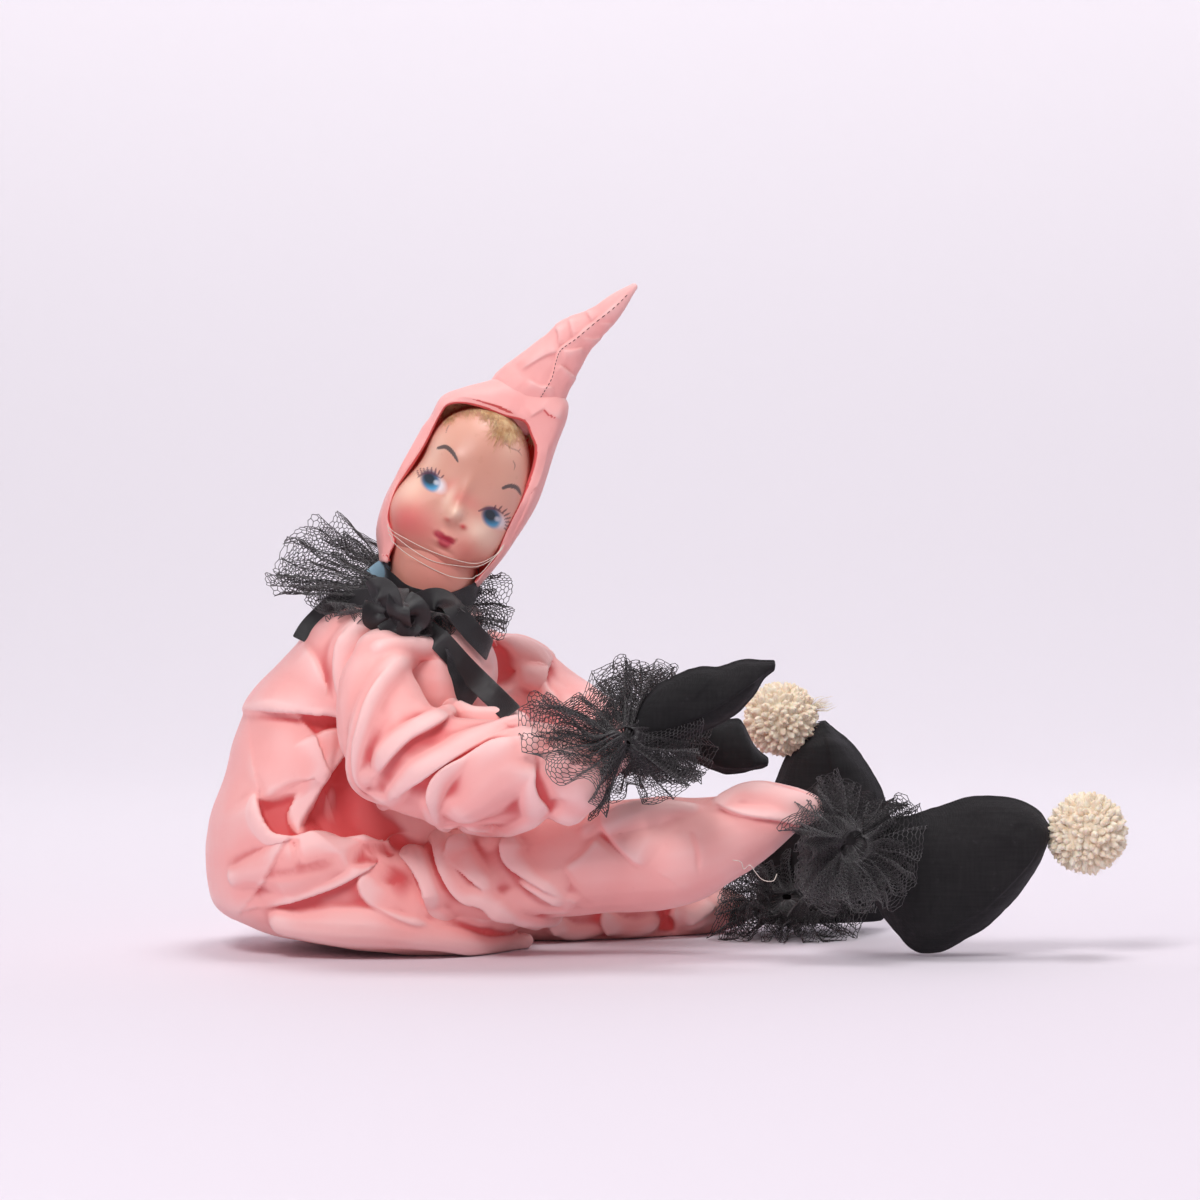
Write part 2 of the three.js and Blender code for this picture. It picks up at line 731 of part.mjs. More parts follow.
// The bow: a knot against the band, two loops, and tails that lie on the blouse
const knotBall = new THREE.SphereGeometry(KNOT_RADIUS, 14, 9);
knotBall.scale(1.05, 0.75, 1);
const knotFrame = frameAt(knotMiddle, UP, knotMiddle.clone().sub(neckJoint).cross(UP));
const collarRoom = neckPost(bandInner + RIBBON_THICKNESS + CLEAR, -20, 60);
const knot = cut(placed(solid(knotBall), knotFrame), collarRoom);
add("ribbon_knot", knot, blackRibbon);

// The tails' routes on the blouse, from the knot
const TAILS = {
  back: [
    [-7, 3],
    [-18, 0],
    [-28, -7],
    [-33, -17],
  ],
  front: [
    [8, 1],
    [19, -2],
    [28, -12],
    [35, -22],
  ],
  long: [
    [4, -7],
    [13, -18],
    [26, -28],
    [36, -41],
  ],
};
for (const [name, steps] of Object.entries(TAILS)) {
  const route = steps.map(([x, z]) => {
    const place = onSide(chest, "right", knotMiddle.x + x, knotMiddle.z + z, RIBBON_OFF);
    return place.setY(Math.min(place.y, knotMiddle.y - 2));
  });
  const tail = ribbon(route, vec(0, -0.8, 0.6));
  add(`ribbon_tail_${name}`, cut(tail, knotRoom, collarRoom), blackRibbon);
}

// Hollow and solid eggs of the head, in the head's own frame: the face looks along -Y.
const FACE_RELIEF = [
  { x: 0.5, z: -15, wide: 3.4, tall: 3.4, out: 4.6 }, // tip of the nose
  { x: 0.5, z: -7, wide: 3, tall: 7, out: 2.4 }, // bridge
  { x: -14, z: -4, wide: 6.5, tall: 4.5, out: -1.8 }, // eye hollows
  { x: 15, z: -4, wide: 6.5, tall: 4.5, out: -1.8 },
  { x: -15, z: -17, wide: 8, tall: 8, out: 2.4 }, // cheeks
  { x: 16, z: -17, wide: 8, tall: 8, out: 2.4 },
  { x: 0, z: -23.5, wide: 5, tall: 2.6, out: 1.6 }, // lips
  { x: 0, z: -32, wide: 6, tall: 4, out: 2.6 }, // chin
  { x: 0, z: 16, wide: 20, tall: 14, out: 1.2 }, // forehead
];

// The sections narrow to the crown and to the chin, and the face is flatter than the back.
function egg(grow, relief = 0, around = 24, rows = 14) {
  const rings = [];
  for (let row = 1; row < rows; row++) {
    const polar = (Math.PI * row) / rows;
    const lift = -Math.cos(polar);
    const z = lift * ((lift > 0 ? HEAD_CROWN : HEAD_CHIN) + grow);
    const full = Math.sin(polar) ** 0.88 * (1 - 0.07 * Math.max(0, -lift));
    rings.push(
      Array.from({ length: around }, (_, i) => {
        const even = (2 * Math.PI * i) / around;
        const turn = even - relief * 0.35 * Math.sin(even);
        const ahead = Math.cos(turn);
        const depth = (ahead > 0 ? FACE_DEPTH : HEAD_BACK_DEPTH) + grow;
        const x = (HEAD_HALF_WIDTH + grow) * full * Math.sin(turn);
        const mould = FACE_RELIEF.reduce(
          (sum, f) => sum + f.out * Math.exp(-(((x - f.x) / f.wide) ** 2) - ((z - f.z) / f.tall) ** 2),
          0,
        );
        return vec(x, -depth * full * ahead - relief * mould * Math.max(0, ahead), z);
      }),
    );
  }
  const chin = vec(0, 0, -HEAD_CHIN - grow);
  const crown = vec(0, 0, HEAD_CROWN + grow);
  return placed(solid(skin(rings, chin, crown)), headFrame);
}

// An oval prism through the face, for the hood's opening and what shows in it.
function facePrism(margin) {
  const oval = new THREE.CylinderGeometry(1, 1, 60, 32);
  oval.scale(FACE_OPENING_HALF_WIDTH - margin, 1, FACE_OPENING_HALF_HEIGHT - margin);
  oval.translate(0, -32, -2);
  return placed(solid(oval), headFrame);
}

const neckTop = HEAD_RISE - 10;
const head = cut(
  egg(0, 1, 28, 19).add(neckPost(NECK_RADIUS, CLEAR, neckTop)),
  egg(-HEAD_WALL, 0, 16, 10),
  neckPost(NECK_RADIUS - NECK_WALL, 0, neckTop),
);
add("head_shell", head, skinVinyl);

// The hood: a shell over the head with a skirt round the neck, open at the face
const hoodInside = egg(HOOD_EASE, 0, 22, 13).add(neckPost(NECK_RADIUS + 7, 0, neckTop));
const skirtOutside = neckPost(NECK_RADIUS + 7 + HOOD_THICKNESS, 0, neckTop - 6);
const kink = inHead(7, 2, HEAD_CROWN + PEAK_ROOT_LENGTH - 6);
const rootAxis = kink.clone().sub(inHead(2, 2, 10)).normalize();
const peakAxis = heading(0, 90 - PEAK_LEAN);
const peakHinge = vec(0, 1, 0);
const peakBend = rootAxis.clone().cross(peakAxis).normalize();
const peakMeeting = meeting(rootAxis, peakAxis, RANGES.peak, peakBend);
const root = stuffedLimb({
  from: along(kink, rootAxis, -PEAK_ROOT_LENGTH - 24),
  to: kink,
  radius: (share) => PEAK_RADIUS + 10 * (1 - share),
  start: blunt,
  end: peakMeeting.end,
  around: 14,
  steps: 8,
});
// Clear threads under the chin, each let into the hood's wall at both ends
const chinThread = (drop, radius) =>
  thread(
    [
      inHead(-23, -9, -24 + drop * 0.7),
      inHead(-12, -23, -31 + drop * 0.8),
      inHead(4, -29, -32.5 + drop),
      inHead(18, -23, -28 + drop * 0.8),
      inHead(27.5, -8, -18 + drop * 0.7),
    ],
    radius,
  );
const THREAD_DROPS = [0, -1.6, -3.2];
const chinRoom = new THREE.BoxGeometry(2 * FACE_OPENING_HALF_WIDTH - 10, 60, 60).translate(0, -32, -34);
const hood = cut(
  egg(HOOD_EASE + HOOD_THICKNESS, 0, 22, 13).add(skirtOutside).add(root),
  hoodInside,
  facePrism(0),
  placed(halfSpace(vec(0, 0, HOOD_SKIRT), UP), neckFrame),
  placed(solid(chinRoom), headFrame),
  THREAD_DROPS.map((drop) => chinThread(drop, THREAD_RADIUS + CLEAR)),
).add(ball(kink, PEAK_BALL));
add("hood", hood, pinkSatin);
THREAD_DROPS.forEach((drop, i) =>
  add(`chin_thread_${i + 1}`, chinThread(drop, THREAD_RADIUS), clearThread),
);
const peakTip = along(kink, peakAxis, PEAK_LENGTH);
const peak = cut(
  stuffedLimb({
    from: kink,
    to: peakTip,
    radius: (share) => PEAK_RADIUS * (1 - 0.8 * share),
    start: peakMeeting.start,
    end: { outer: 30, inner: 30 },
    folds: 2.5,
    foldDepth: 1.4,
  }),
  cup(kink, PEAK_BALL),
);
add("hood_peak", peak, pinkSatin);

// Blond fringe under the hood's edge
const fringeBall = new THREE.SphereGeometry(1, 20, 12);
fringeBall.scale(20, 30, 9);
fringeBall.translate(-1, -14, FACE_OPENING_HALF_HEIGHT - 5);
const fringe = placed(solid(fringeBall), headFrame)
  .intersect(egg(HOOD_EASE + FRINGE_THICKNESS))
  .intersect(facePrism(CLEAR));
add("hair_fringe", cut(fringe, egg(CLEAR, 1, 28, 19)), blondHair);

// A frame whose X points along a direction, and whose Z is as near to the hint as it can be.
function alongFrame(place, direction, faceHint) {
  const x = direction.clone().normalize();
  const z = faceHint.clone().addScaledVector(x, -faceHint.dot(x)).normalize();
  return new THREE.Matrix4().makeBasis(x, z.clone().cross(x), z).setPosition(place);
}

// Mitt: shares of its length and of its half width, from the wrist
const MITT_OUTLINE = [
  [0.02, -0.4],
  [0.22, -0.72],
  [0.5, -1],
  [0.76, -0.78],
  [0.95, -0.22],
  [1, 0.12],
  [0.86, 0.5],
  [0.66, 0.72],
  [0.5, 0.84],
  [0.22, 0.72],
  [0.02, 0.4],
].map(([along, aside]) => [along * MITT_LENGTH, aside * MITT_HALF_WIDTH]);

// Boot: shares of its length ahead of and above the ankle, round the heel, sole and toe
const BOOT_OUTLINE = [
  [-0.12, -0.07],
  [-0.21, -0.24],
  [-0.195, -0.54],
  [-0.11, -0.69],
  [0.05, -0.77],
  [0.22, -0.8],
  [0.455, -0.78],
  [0.68, -0.73],
  [0.79, -0.66],
  [0.765, -0.48],
  [0.67, -0.34],
  [0.55, -0.23],
  [0.39, -0.135],
  [0.21, -0.03],
  [0.07, -0.02],
].map(([ahead, above]) => [ahead * BOOT_LENGTH, above * BOOT_LENGTH]);
const BOOT_TIP = [0.79 * BOOT_LENGTH, -0.66 * BOOT_LENGTH];

// A bunch of net round a limb: a fat ring that the limb's own end fills.
function bunch(radius, half) {
  const section = new THREE.Shape();
  section.absellipse(radius * 0.55, 0, radius * 0.5, half, 0, 2 * Math.PI);
  const profile = section.getSpacedPoints(8).map((p) => new THREE.Vector2(p.x, p.y));
  profile[profile.length - 1] = profile[0].clone();
  const ring = new THREE.LatheGeometry(profile, 14);
  ring.rotateX(Math.PI / 2);
  return solid(ring);
}

// What the net round a limb's end looks like: how far it stands out, round the limb.
const NETS = {
  wrist: { reach: () => CUFF_REACH, dish: () => 2, waves: 7, wave: 4, back: 9, from: 22 },
  ankle: { reach: () => ANKLE_REACH, dish: () => -6, waves: 8, wave: 4, back: 14, from: 32 },
};
function netAround(limb, joint, axis, kind) {
  const { reach, dish, waves, wave, back, from } = NETS[kind];
  const half = kind === "wrist" ? SLEEVE_GATHER : ANKLE_GATHER;
  const hint = Math.abs(axis.z) < 0.9 ? UP : vec(1, 0, 0);
  const ruffle = frill({ inner: 2, reach, dish, waves, wave });
  const ruffleFrame = frameAt(along(joint, axis, -back), axis, hint);
  const gatherFrame = frameAt(along(joint, axis, -from), axis, hint);
  const room = limb({ grow: CLEAR });
  return {
    ruffle: cut(placed(ruffle, ruffleFrame), room, floor),
    gather: cut(placed(bunch(FOREARM_RADIUS.right, half), gatherFrame), room, floor),
  };
}

// Limbs
for (const side of SIDES) {
  const { shoulder, elbow, wrist, hip, knee, ankle } = joints[side];
  const aim = aims[side];
  const upperSolid = cut(upperArm(side), cup(shoulder, SHOULDER_BALL));
  add(`${side}_upper_sleeve`, upperSolid.add(ball(elbow, ELBOW_BALL)), pinkSatin);
  const lowerSolid = cut(forearm(side), cup(elbow, ELBOW_BALL));
  add(`${side}_forearm_sleeve`, lowerSolid.add(ball(wrist, WRIST_BALL)), pinkSatin);
  const wristNet = netAround((extra) => forearm(side, extra), wrist, aim.fore, "wrist");
  add(`${side}_wrist_ruffle`, wristNet.ruffle, blackNet);
  add(`${side}_wrist_gather`, wristNet.gather, blackNet);

  const mittFrame = alongFrame(wrist, aim.mitt, vec(0, -0.7, 0.7));
  const wristCup = cup(wrist, WRIST_BALL);
  for (const half of ["back", "palm"]) {
    const direction = half === "back" ? 1 : -1;
    const felt = placed(sewnHalf(MITT_OUTLINE, MITT_HALF_THICKNESS, direction, 20, 3), mittFrame);
    add(`${side}_mitt_${half}`, cut(felt, wristCup), blackFelt);
  }

  const thighSolid = cut(thigh(side), cup(hip, HIP_BALL), floor);
  add(`${side}_thigh`, thighSolid.add(ball(knee, KNEE_BALL)), pinkSatin);
  const shinSolid = cut(shin(side), cup(knee, KNEE_BALL), floor);
  add(`${side}_shin`, shinSolid.add(ball(ankle, ANKLE_BALL)), pinkSatin);
  const ankleNet = netAround((extra) => shin(side, extra), ankle, aim.shin, "ankle");
  add(`${side}_ankle_ruffle`, ankleNet.ruffle, blackNet);
  add(`${side}_ankle_gather`, ankleNet.gather, blackNet);

  const footAim = heading(aim.footYaw, aim.foot);
  const instep = heading(aim.footYaw, aim.foot + 90);
  const bootFrame = alongFrame(ankle, footAim, footAim.clone().cross(instep));
  const tip = vec(BOOT_TIP[0], BOOT_TIP[1], 0).applyMatrix4(bootFrame);
  const tieAim = aim.pompom.clone().normalize();
  const hangs = along(tip, tieAim, TIE_LENGTH);
  const tiePost = (radius, low, high) => {
    const post = new THREE.CylinderGeometry(radius, radius, high - low, 10);
    post.rotateX(Math.PI / 2);
    post.translate(0, 0, (low + high) / 2);
    return placed(solid(post), frameAt(tip, tieAim, vec(0, 1, 0)));
  };
  const tie = tiePost(TIE_RADIUS, -TIE_ROOT, TIE_LENGTH).add(ball(hangs, TIE_RADIUS + 0.5));
  const ankleRoom = swept(
    shin(side, { ...plain, grow: 1.2 }),
    ankle,
    kneeAxis(side),
    RANGES.ankle,
  ).add(cup(ankle, ANKLE_BALL));
  for (const half of ["outer", "inner"]) {
    const direction = (half === "outer") === (side === "right") ? 1 : -1;
    const felt = placed(sewnHalf(BOOT_OUTLINE, BOOT_HALF_THICKNESS, direction, 26, 4), bootFrame);
    const tieRoom = tiePost(TIE_RADIUS + CLEAR, -TIE_ROOT - CLEAR, TIE_LENGTH);
    add(`${side}_boot_${half}`, cut(felt, ankleRoom, tieRoom, floor), blackFelt);
  }
  add(`${side}_pompom_tie`, tie, blackFelt);
  const yarnBall = new THREE.IcosahedronGeometry(POMPOM_RADIUS, 3);
  const middle = along(hangs, tieAim, POMPOM_RADIUS - 0.5);
  yarnBall.translate(middle.x, middle.y, middle.z);
  add(`${side}_pompom`, cut(solid(yarnBall), cup(hangs, TIE_RADIUS + 0.5)), creamYarn);
  Object.assign(joints[side], { hangs });
}

// Bodies and joints, for whoever rigs the doll
const body = (parent, joint, ...nodes) => ({ parent, joint, nodes });
doll.userData.bodies = {
  torso: body(
    null,
    null,
    "seat",
    "chest",
    "neck_stump",
    "ribbon_band",
    "neck_ruff",
    "ribbon_knot",
    "ribbon_tail_back",
    "ribbon_tail_front",
    "ribbon_tail_long",
  ),
  head: body(
    "torso",
    "neck_turn",
    "head_shell",
    "hood",
    "hair_fringe",
    ...THREAD_DROPS.map((drop, i) => `chin_thread_${i + 1}`),
  ),
  peak: body("head", "peak_bend", "hood_peak"),
};
const hinge = (pivot, axis, range) => ({ pivot: pivot.toArray(), axis: axis.toArray(), range });
doll.userData.joints = {
  neck_turn: hinge(neckJoint, neckAxis, RANGES.neck),
  peak_bend: hinge(kink, peakHinge, RANGES.peak),
};
for (const side of SIDES) {
  const at = joints[side];
  Object.assign(doll.userData.bodies, {
    [`${side}_upper_arm`]: body("torso", `${side}_shoulder`, `${side}_upper_sleeve`),
    [`${side}_forearm`]: body(
      `${side}_upper_arm`,
      `${side}_elbow`,
      `${side}_forearm_sleeve`,
      `${side}_wrist_ruffle`,
      `${side}_wrist_gather`,
    ),
    [`${side}_hand`]: body(`${side}_forearm`, `${side}_wrist`, `${side}_mitt_back`, `${side}_mitt_palm`),
    [`${side}_upper_leg`]: body("torso", `${side}_hip`, `${side}_thigh`),
    [`${side}_lower_leg`]: body(
      `${side}_upper_leg`,
      `${side}_knee`,
      `${side}_shin`,
      `${side}_ankle_ruffle`,
      `${side}_ankle_gather`,
    ),
    [`${side}_foot`]: body(
      `${side}_lower_leg`,
      `${side}_ankle`,
      `${side}_boot_outer`,
      `${side}_boot_inner`,
      `${side}_pompom_tie`,
    ),
    [`${side}_bobble`]: body(`${side}_foot`, `${side}_pompom_swing`, `${side}_pompom`),
  });
  Object.assign(doll.userData.joints, {
    [`${side}_shoulder`]: hinge(at.shoulder, raiseAxis, RANGES.shoulder),
    [`${side}_elbow`]: hinge(at.elbow, elbowAxis(side), RANGES.elbow),
    [`${side}_wrist`]: hinge(at.wrist, raiseAxis, RANGES.wrist),
    [`${side}_hip`]: hinge(at.hip, spreadAxis[side], RANGES.hip[side]),
    [`${side}_knee`]: hinge(at.knee, kneeAxis(side), RANGES.knee),
    [`${side}_ankle`]: hinge(at.ankle, kneeAxis(side), RANGES.ankle),
    [`${side}_pompom_swing`]: hinge(at.hangs, raiseAxis, RANGES.pompom),
  });
}

export default doll;
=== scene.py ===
import json
import math
import random

import bpy
import numpy as np
from mathutils import Matrix, Vector, noise
from mathutils.bvhtree import BVHTree

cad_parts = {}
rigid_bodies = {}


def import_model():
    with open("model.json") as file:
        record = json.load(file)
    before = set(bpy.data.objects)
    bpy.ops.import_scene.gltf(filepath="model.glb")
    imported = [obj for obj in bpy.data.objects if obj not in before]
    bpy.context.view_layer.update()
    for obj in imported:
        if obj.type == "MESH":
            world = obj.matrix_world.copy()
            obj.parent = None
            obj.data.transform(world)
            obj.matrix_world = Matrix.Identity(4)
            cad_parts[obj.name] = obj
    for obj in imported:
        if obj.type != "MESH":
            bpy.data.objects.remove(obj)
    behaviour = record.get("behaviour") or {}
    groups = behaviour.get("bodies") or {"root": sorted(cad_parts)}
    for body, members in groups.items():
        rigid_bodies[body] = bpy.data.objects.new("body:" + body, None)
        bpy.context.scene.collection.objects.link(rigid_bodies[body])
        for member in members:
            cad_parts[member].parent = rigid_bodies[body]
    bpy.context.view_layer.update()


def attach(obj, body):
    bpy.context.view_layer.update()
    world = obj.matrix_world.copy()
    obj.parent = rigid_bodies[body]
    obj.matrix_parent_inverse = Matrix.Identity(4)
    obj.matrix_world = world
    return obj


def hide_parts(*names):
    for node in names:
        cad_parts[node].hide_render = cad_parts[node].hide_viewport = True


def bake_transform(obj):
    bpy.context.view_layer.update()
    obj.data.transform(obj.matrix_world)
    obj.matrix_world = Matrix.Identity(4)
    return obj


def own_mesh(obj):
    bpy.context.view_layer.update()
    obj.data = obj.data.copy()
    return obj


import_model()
random.seed(7)

# camera: the photograph is 1200 pixels square, 0.43 mm a pixel at the middle of the doll
photo = {"pixel": 0.00043, "zeroX": 380, "floorY": 950, "middle": 600, "distance": 2.6, "rise": 3.0, "sensor": 36.0}
pixelMm = photo["pixel"] * 1000


def addCamera():
    rise = math.radians(photo["rise"])
    x = (photo["middle"] - photo["zeroX"]) * photo["pixel"]
    z = (photo["floorY"] - photo["middle"]) * photo["pixel"]
    way = Vector((0, math.cos(rise), -math.sin(rise)))
    bpy.ops.object.camera_add(location=Vector((x, 0, z)) - way * photo["distance"],
        rotation=(math.radians(90) - rise, 0, 0))
    made = bpy.context.object
    made.name = "photoCamera"
    made.data.sensor_width = photo["sensor"]
    made.data.lens = photo["sensor"] * photo["distance"] / (2 * photo["middle"] * photo["pixel"])
    made.data.clip_start, made.data.clip_end = 0.1, 20
    bpy.context.scene.camera = made
    bpy.context.view_layer.update()
    return made


camera = addCamera()


def pixelRay(px, py):  # from the eye through a pixel of the photograph
    mid = photo["middle"]
    half = mid * photo["pixel"] / photo["distance"]
    local = Vector(((px - mid) / mid * half, (mid - py) / mid * half, -1))
    return camera.matrix_world.translation.copy(), (camera.matrix_world.to_3x3() @ local).normalized()


def atPhoto(px, py, depth):  # the point a pixel shows at this depth, in mm behind the doll's middle
    eye, way = pixelRay(px, py)
    return eye + way * ((depth / 1000 - eye.y) / way.y)


# small tools for soft forms, all lengths in metres
def smoothRow(points, count):  # even samples of a smooth line through rows of numbers
    p = np.array(points, float)
    if len(p) == 2:
        t = np.linspace(0, 1, count)[:, None]
        return p[0] * (1 - t) + p[1] * t
    ends = np.vstack([2 * p[0] - p[1], p, 2 * p[-1] - p[-2]])
    rows = []
    for u in np.linspace(0, len(p) - 1 - 1e-9, count):
        i = int(u)
        t = u - i
        a, b, c, d = ends[i:i + 4]
        curve = 2 * b + (c - a) * t + (2 * a - 5 * b + 4 * c - d) * t * t + (3 * b - a - 3 * c + d) * t ** 3
        rows.append(0.5 * curve)
    return np.array(rows)


def unit(v):
    return v / max(np.linalg.norm(v), 1e-12)


# a closed tube along rows of x, y, z and radius, round at both ends
def tubeForm(row, sides=12, flat=1.0, facing=None):
    row = np.array(row, float)
    row[:, 3] = np.maximum(row[:, 3], 1e-5)
    first, last = unit(row[0, :3] - row[1, :3]), unit(row[-1, :3] - row[-2, :3])
    caps = [(0.5, 0.866), (0.866, 0.5)]
    start = [np.append(row[0, :3] + first * row[0, 3] * a, row[0, 3] * b) for a, b in caps[::-1]]
    end = [np.append(row[-1, :3] + last * row[-1, 3] * a, row[-1, 3] * b) for a, b in caps]
    row = np.vstack([start, row, end])
    side = None
    verts, faces = [], []
    for i in range(len(row)):
        way = unit(row[min(i + 1, len(row) - 1), :3] - row[max(i - 1, 0), :3])
        if facing is not None:
            side = unit(np.cross(way, facing))
        elif side is None:
            side = unit(np.cross(way, [0.3, 0.2, 0.93] if abs(way[2]) < 0.9 else [1, 0, 0]))
        else:
            side = unit(side - way * np.dot(side, way))
        up = np.cross(side, way)
        for k in range(sides):
            a = 2 * math.pi * k / sides
            verts.append(row[i, :3] + row[i, 3] * (math.cos(a) * side + math.sin(a) * flat * up))
    n = len(row)
    for i in range(n - 1):
        for k in range(sides):
            a, b = i * sides + k, i * sides + (k + 1) % sides
            faces.append((a, b, b + sides, a + sides))
    verts.append(row[0, :3] + first * row[0, 3] * 0.13)
    verts.append(row[-1, :3] + last * row[-1, 3] * 0.13)
    for k in range(sides):
        faces.append((n * sides, (k + 1) % sides, k))
        faces.append((n * sides + 1, (n - 1) * sides + k, (n - 1) * sides + (k + 1) % sides))
    return np.array(verts), faces


# a closed ball with three radii, turned about the upright
def ballForm(centre, radii, turn=0.0, rows=14, around=20):
    verts, faces = [], []
    c, s = math.cos(turn), math.sin(turn)
    for i in range(1, rows):
        a = math.pi * i / rows
        for k in range(around):
            b = 2 * math.pi * k / around
            out = math.sin(a)
            x, y, z = out * math.cos(b) * radii[0], out * math.sin(b) * radii[1], math.cos(a) * radii[2]
            verts.append((centre[0] + c * x - s * y, centre[1] + s * x + c * y, centre[2] + z))
    for i in range(rows - 2):
        for k in range(around):
            a, b = i * around + k, i * around + (k + 1) % around
            faces.append((a, a + around, b + around, b))
    top, low = len(verts), len(verts) + 1
    verts += [(centre[0], centre[1], centre[2] + radii[2]), (centre[0], centre[1], centre[2] - radii[2])]
    for k in range(around):
        faces.append((top, k, (k + 1) % around))
        faces.append((low, (rows - 2) * around + (k + 1) % around, (rows - 2) * around + k))
    return np.array(verts), faces


# level sections between two outlines in the photograph, with a half width in mm
def stackForm(rows, square=2.4, around=56):
    verts, faces = [], []
    rows = smoothRow(rows, 5 * len(rows))
    for py, left, right, wide in rows:
        a, b = np.array(atPhoto(left, py, 0)), np.array(atPhoto(right, py, 0))
        middle, half = (a + b) / 2, (b - a) / 2
        for k in range(around):
            c, s = math.cos(2 * math.pi * k / around), math.sin(2 * math.pi * k / around)
            out = half * math.copysign(abs(c) ** (2 / square), c)
            verts.append(middle + out + np.array([0, wide * 0.001 * math.copysign(abs(s) ** (2 / square), s), 0]))
    n = len(rows)
    for i in range(n - 1):
        for k in range(around):
            a, b = i * around + k, i * around + (k + 1) % around
            faces.append((a, a + around, b + around, b))
    faces.append(tuple(range(around)))
    faces.append(tuple(reversed(range((n - 1) * around, n * around))))
    return np.array(verts), faces


def gathered(forms):  # several forms as one list of corners and faces
    verts, faces, base = [], [], 0
    for v, f in forms:
        verts.append(np.array(v))
        faces += [tuple(i + base for i in face) for face in f]
        base += len(v)
    return np.vstack(verts), faces


def newPiece(name, verts, faces):
    mesh = bpy.data.meshes.new(name)
    mesh.from_pydata([tuple(v) for v in verts], [], faces)
    mesh.validate()
    mesh.shade_smooth()
    piece = bpy.data.objects.new(name, mesh)
    bpy.context.scene.collection.objects.link(piece)
    return piece


def alone(piece):  # the only one selected, and active
    bpy.ops.object.select_all(action="DESELECT")
    piece.select_set(True)
    bpy.context.view_layer.objects.active = piece


def applyModifier(piece, kind, **values):
    alone(piece)
    made = piece.modifiers.new(kind.lower(), kind)
    for key, value in values.items():
        setattr(made, key, value)
    bpy.ops.object.modifier_apply(modifier=made.name)


def cleanMesh(piece, join=None):  # joins corners that lie this close, or turns all faces outward
    alone(piece)
    bpy.ops.object.mode_set(mode="EDIT")
    bpy.ops.mesh.select_all(action="SELECT")
    if join:
        bpy.ops.mesh.remove_doubles(threshold=join)
    else:
        bpy.ops.mesh.normals_make_consistent(inside=False)
    bpy.ops.object.mode_set(mode="OBJECT")


def corners(piece, kind="co"):  # or "normal"
    values = np.empty(len(piece.data.vertices) * 3)
    piece.data.vertices.foreach_get(kind, values)
    return values.reshape(-1, 3)


def setCorners(piece, co):
    piece.data.vertices.foreach_set("co", np.asarray(co, float).ravel())
    piece.data.update()


def merged(name, forms, voxel, soften):  # one skin over all the forms, its valleys kept as creases
    piece = newPiece(name, *gathered(forms))
    applyModifier(piece, "REMESH", mode="VOXEL", voxel_size=voxel, use_smooth_shade=True)
    applyModifier(piece, "SMOOTH", factor=0.5, iterations=soften)
    piece.data.shade_smooth()
    return piece


def treeOf(forms):  # for finding where a ray meets these forms
    verts, faces = gathered(forms)
    return BVHTree.FromPolygons([tuple(v) for v in verts], faces)


def treeOn(piece):
    mesh = piece.data
    return BVHTree.FromPolygons([v.co for v in mesh.vertices], [p.vertices for p in mesh.polygons])


def dressed(piece, material, nodes=(), body=None):  # what nearly every finished piece is told
    piece.data.materials.append(material)
    if body:
        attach(piece, body)
    if nodes:
        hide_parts(*nodes)
    print(piece.name, "made,", len(piece.data.polygons), "faces")


# where a fold of this radius lies on a form, seen in the photograph
def landOn(tree, px, py, radius, behind=False, sink=0.4):
    eye, way = pixelRay(px, py)
    hit = tree.ray_cast(eye + way * 5, -way)[0] if behind else tree.ray_cast(eye, way)[0]
    if hit is None:
        near = tree.find_nearest(atPhoto(px, py, 0))[0]
        hit = eye + way * ((near.y - eye.y) / way.y)
        sink = 0.0
    return hit + way * (radius * sink * (-1 if behind else 1))


def foldRolls(tree, folds, behind=False, shift=(0, 0), plump=1.0, flat=0.85):
    made = []
    for fold in folds:
        rows = []
        for px, py, radius in fold:
            r = radius * 0.001 * plump
            rows.append([*landOn(tree, px + shift[0], py + shift[1], r, behind), r])
        if len(rows) == 1:
            x, y, z, r = rows[0]
            made.append(ballForm((x, y, z), (r, r, r)))
        else:
            made.append(tubeForm(smoothRow(rows, 6 * len(rows)), 12, flat, (0, -1, 0.02)))
    return made


# each edge is ((height, soft side, steep side) in mm, pixels). The steep side is left of the line as drawn,
# and a height below 0 is a crease cut into the cloth
def foldEdges(piece, edges, behind=False, shift=(0, 0), share=1.0, lean=0.5):
    tree = treeOn(piece)
    co, no = corners(piece), corners(piece, "normal")
    rise, cut, slip = np.zeros(len(co)), np.zeros(len(co)), np.zeros((len(co), 3))
    for (height, soft, steep), pixels in edges:
        row = smoothRow(pixels, 5 * len(pixels)) + np.array(shift)
        line = np.array([landOn(tree, px, py, 0, behind) for px, py in row])
        reach = (max(soft, steep) * 2.4 + 2) * 0.001
        low, high = line.min(0) - reach, line.max(0) + reach
        near = np.where(((co > low) & (co < high)).all(1))[0]
        if not len(near):
            continue
        d, along, side, across = sidesOf(co[near], line)
        width = np.where(side > 0, steep, soft) * 0.001
        taper = np.clip(np.sin(math.pi * np.clip(along, 0.03, 0.97)) * 1.7, 0, 1)
        facing = np.clip(no[near][:, 1] * (1 if behind else -1) * 2 + 0.8, 0, 1)
        amount = np.exp(-(d / width) ** 2) * taper * facing * abs(height) * 0.001 * share
        if height < 0:
            cut[near] = np.maximum(cut[near], amount)
            continue
        more = amount > rise[near]
        rise[near[more]] = amount[more]
        slip[near[more]] = across[more] * amount[more, None] * lean
    setCorners(piece, co + no * (rise - cut)[:, None] + slip)


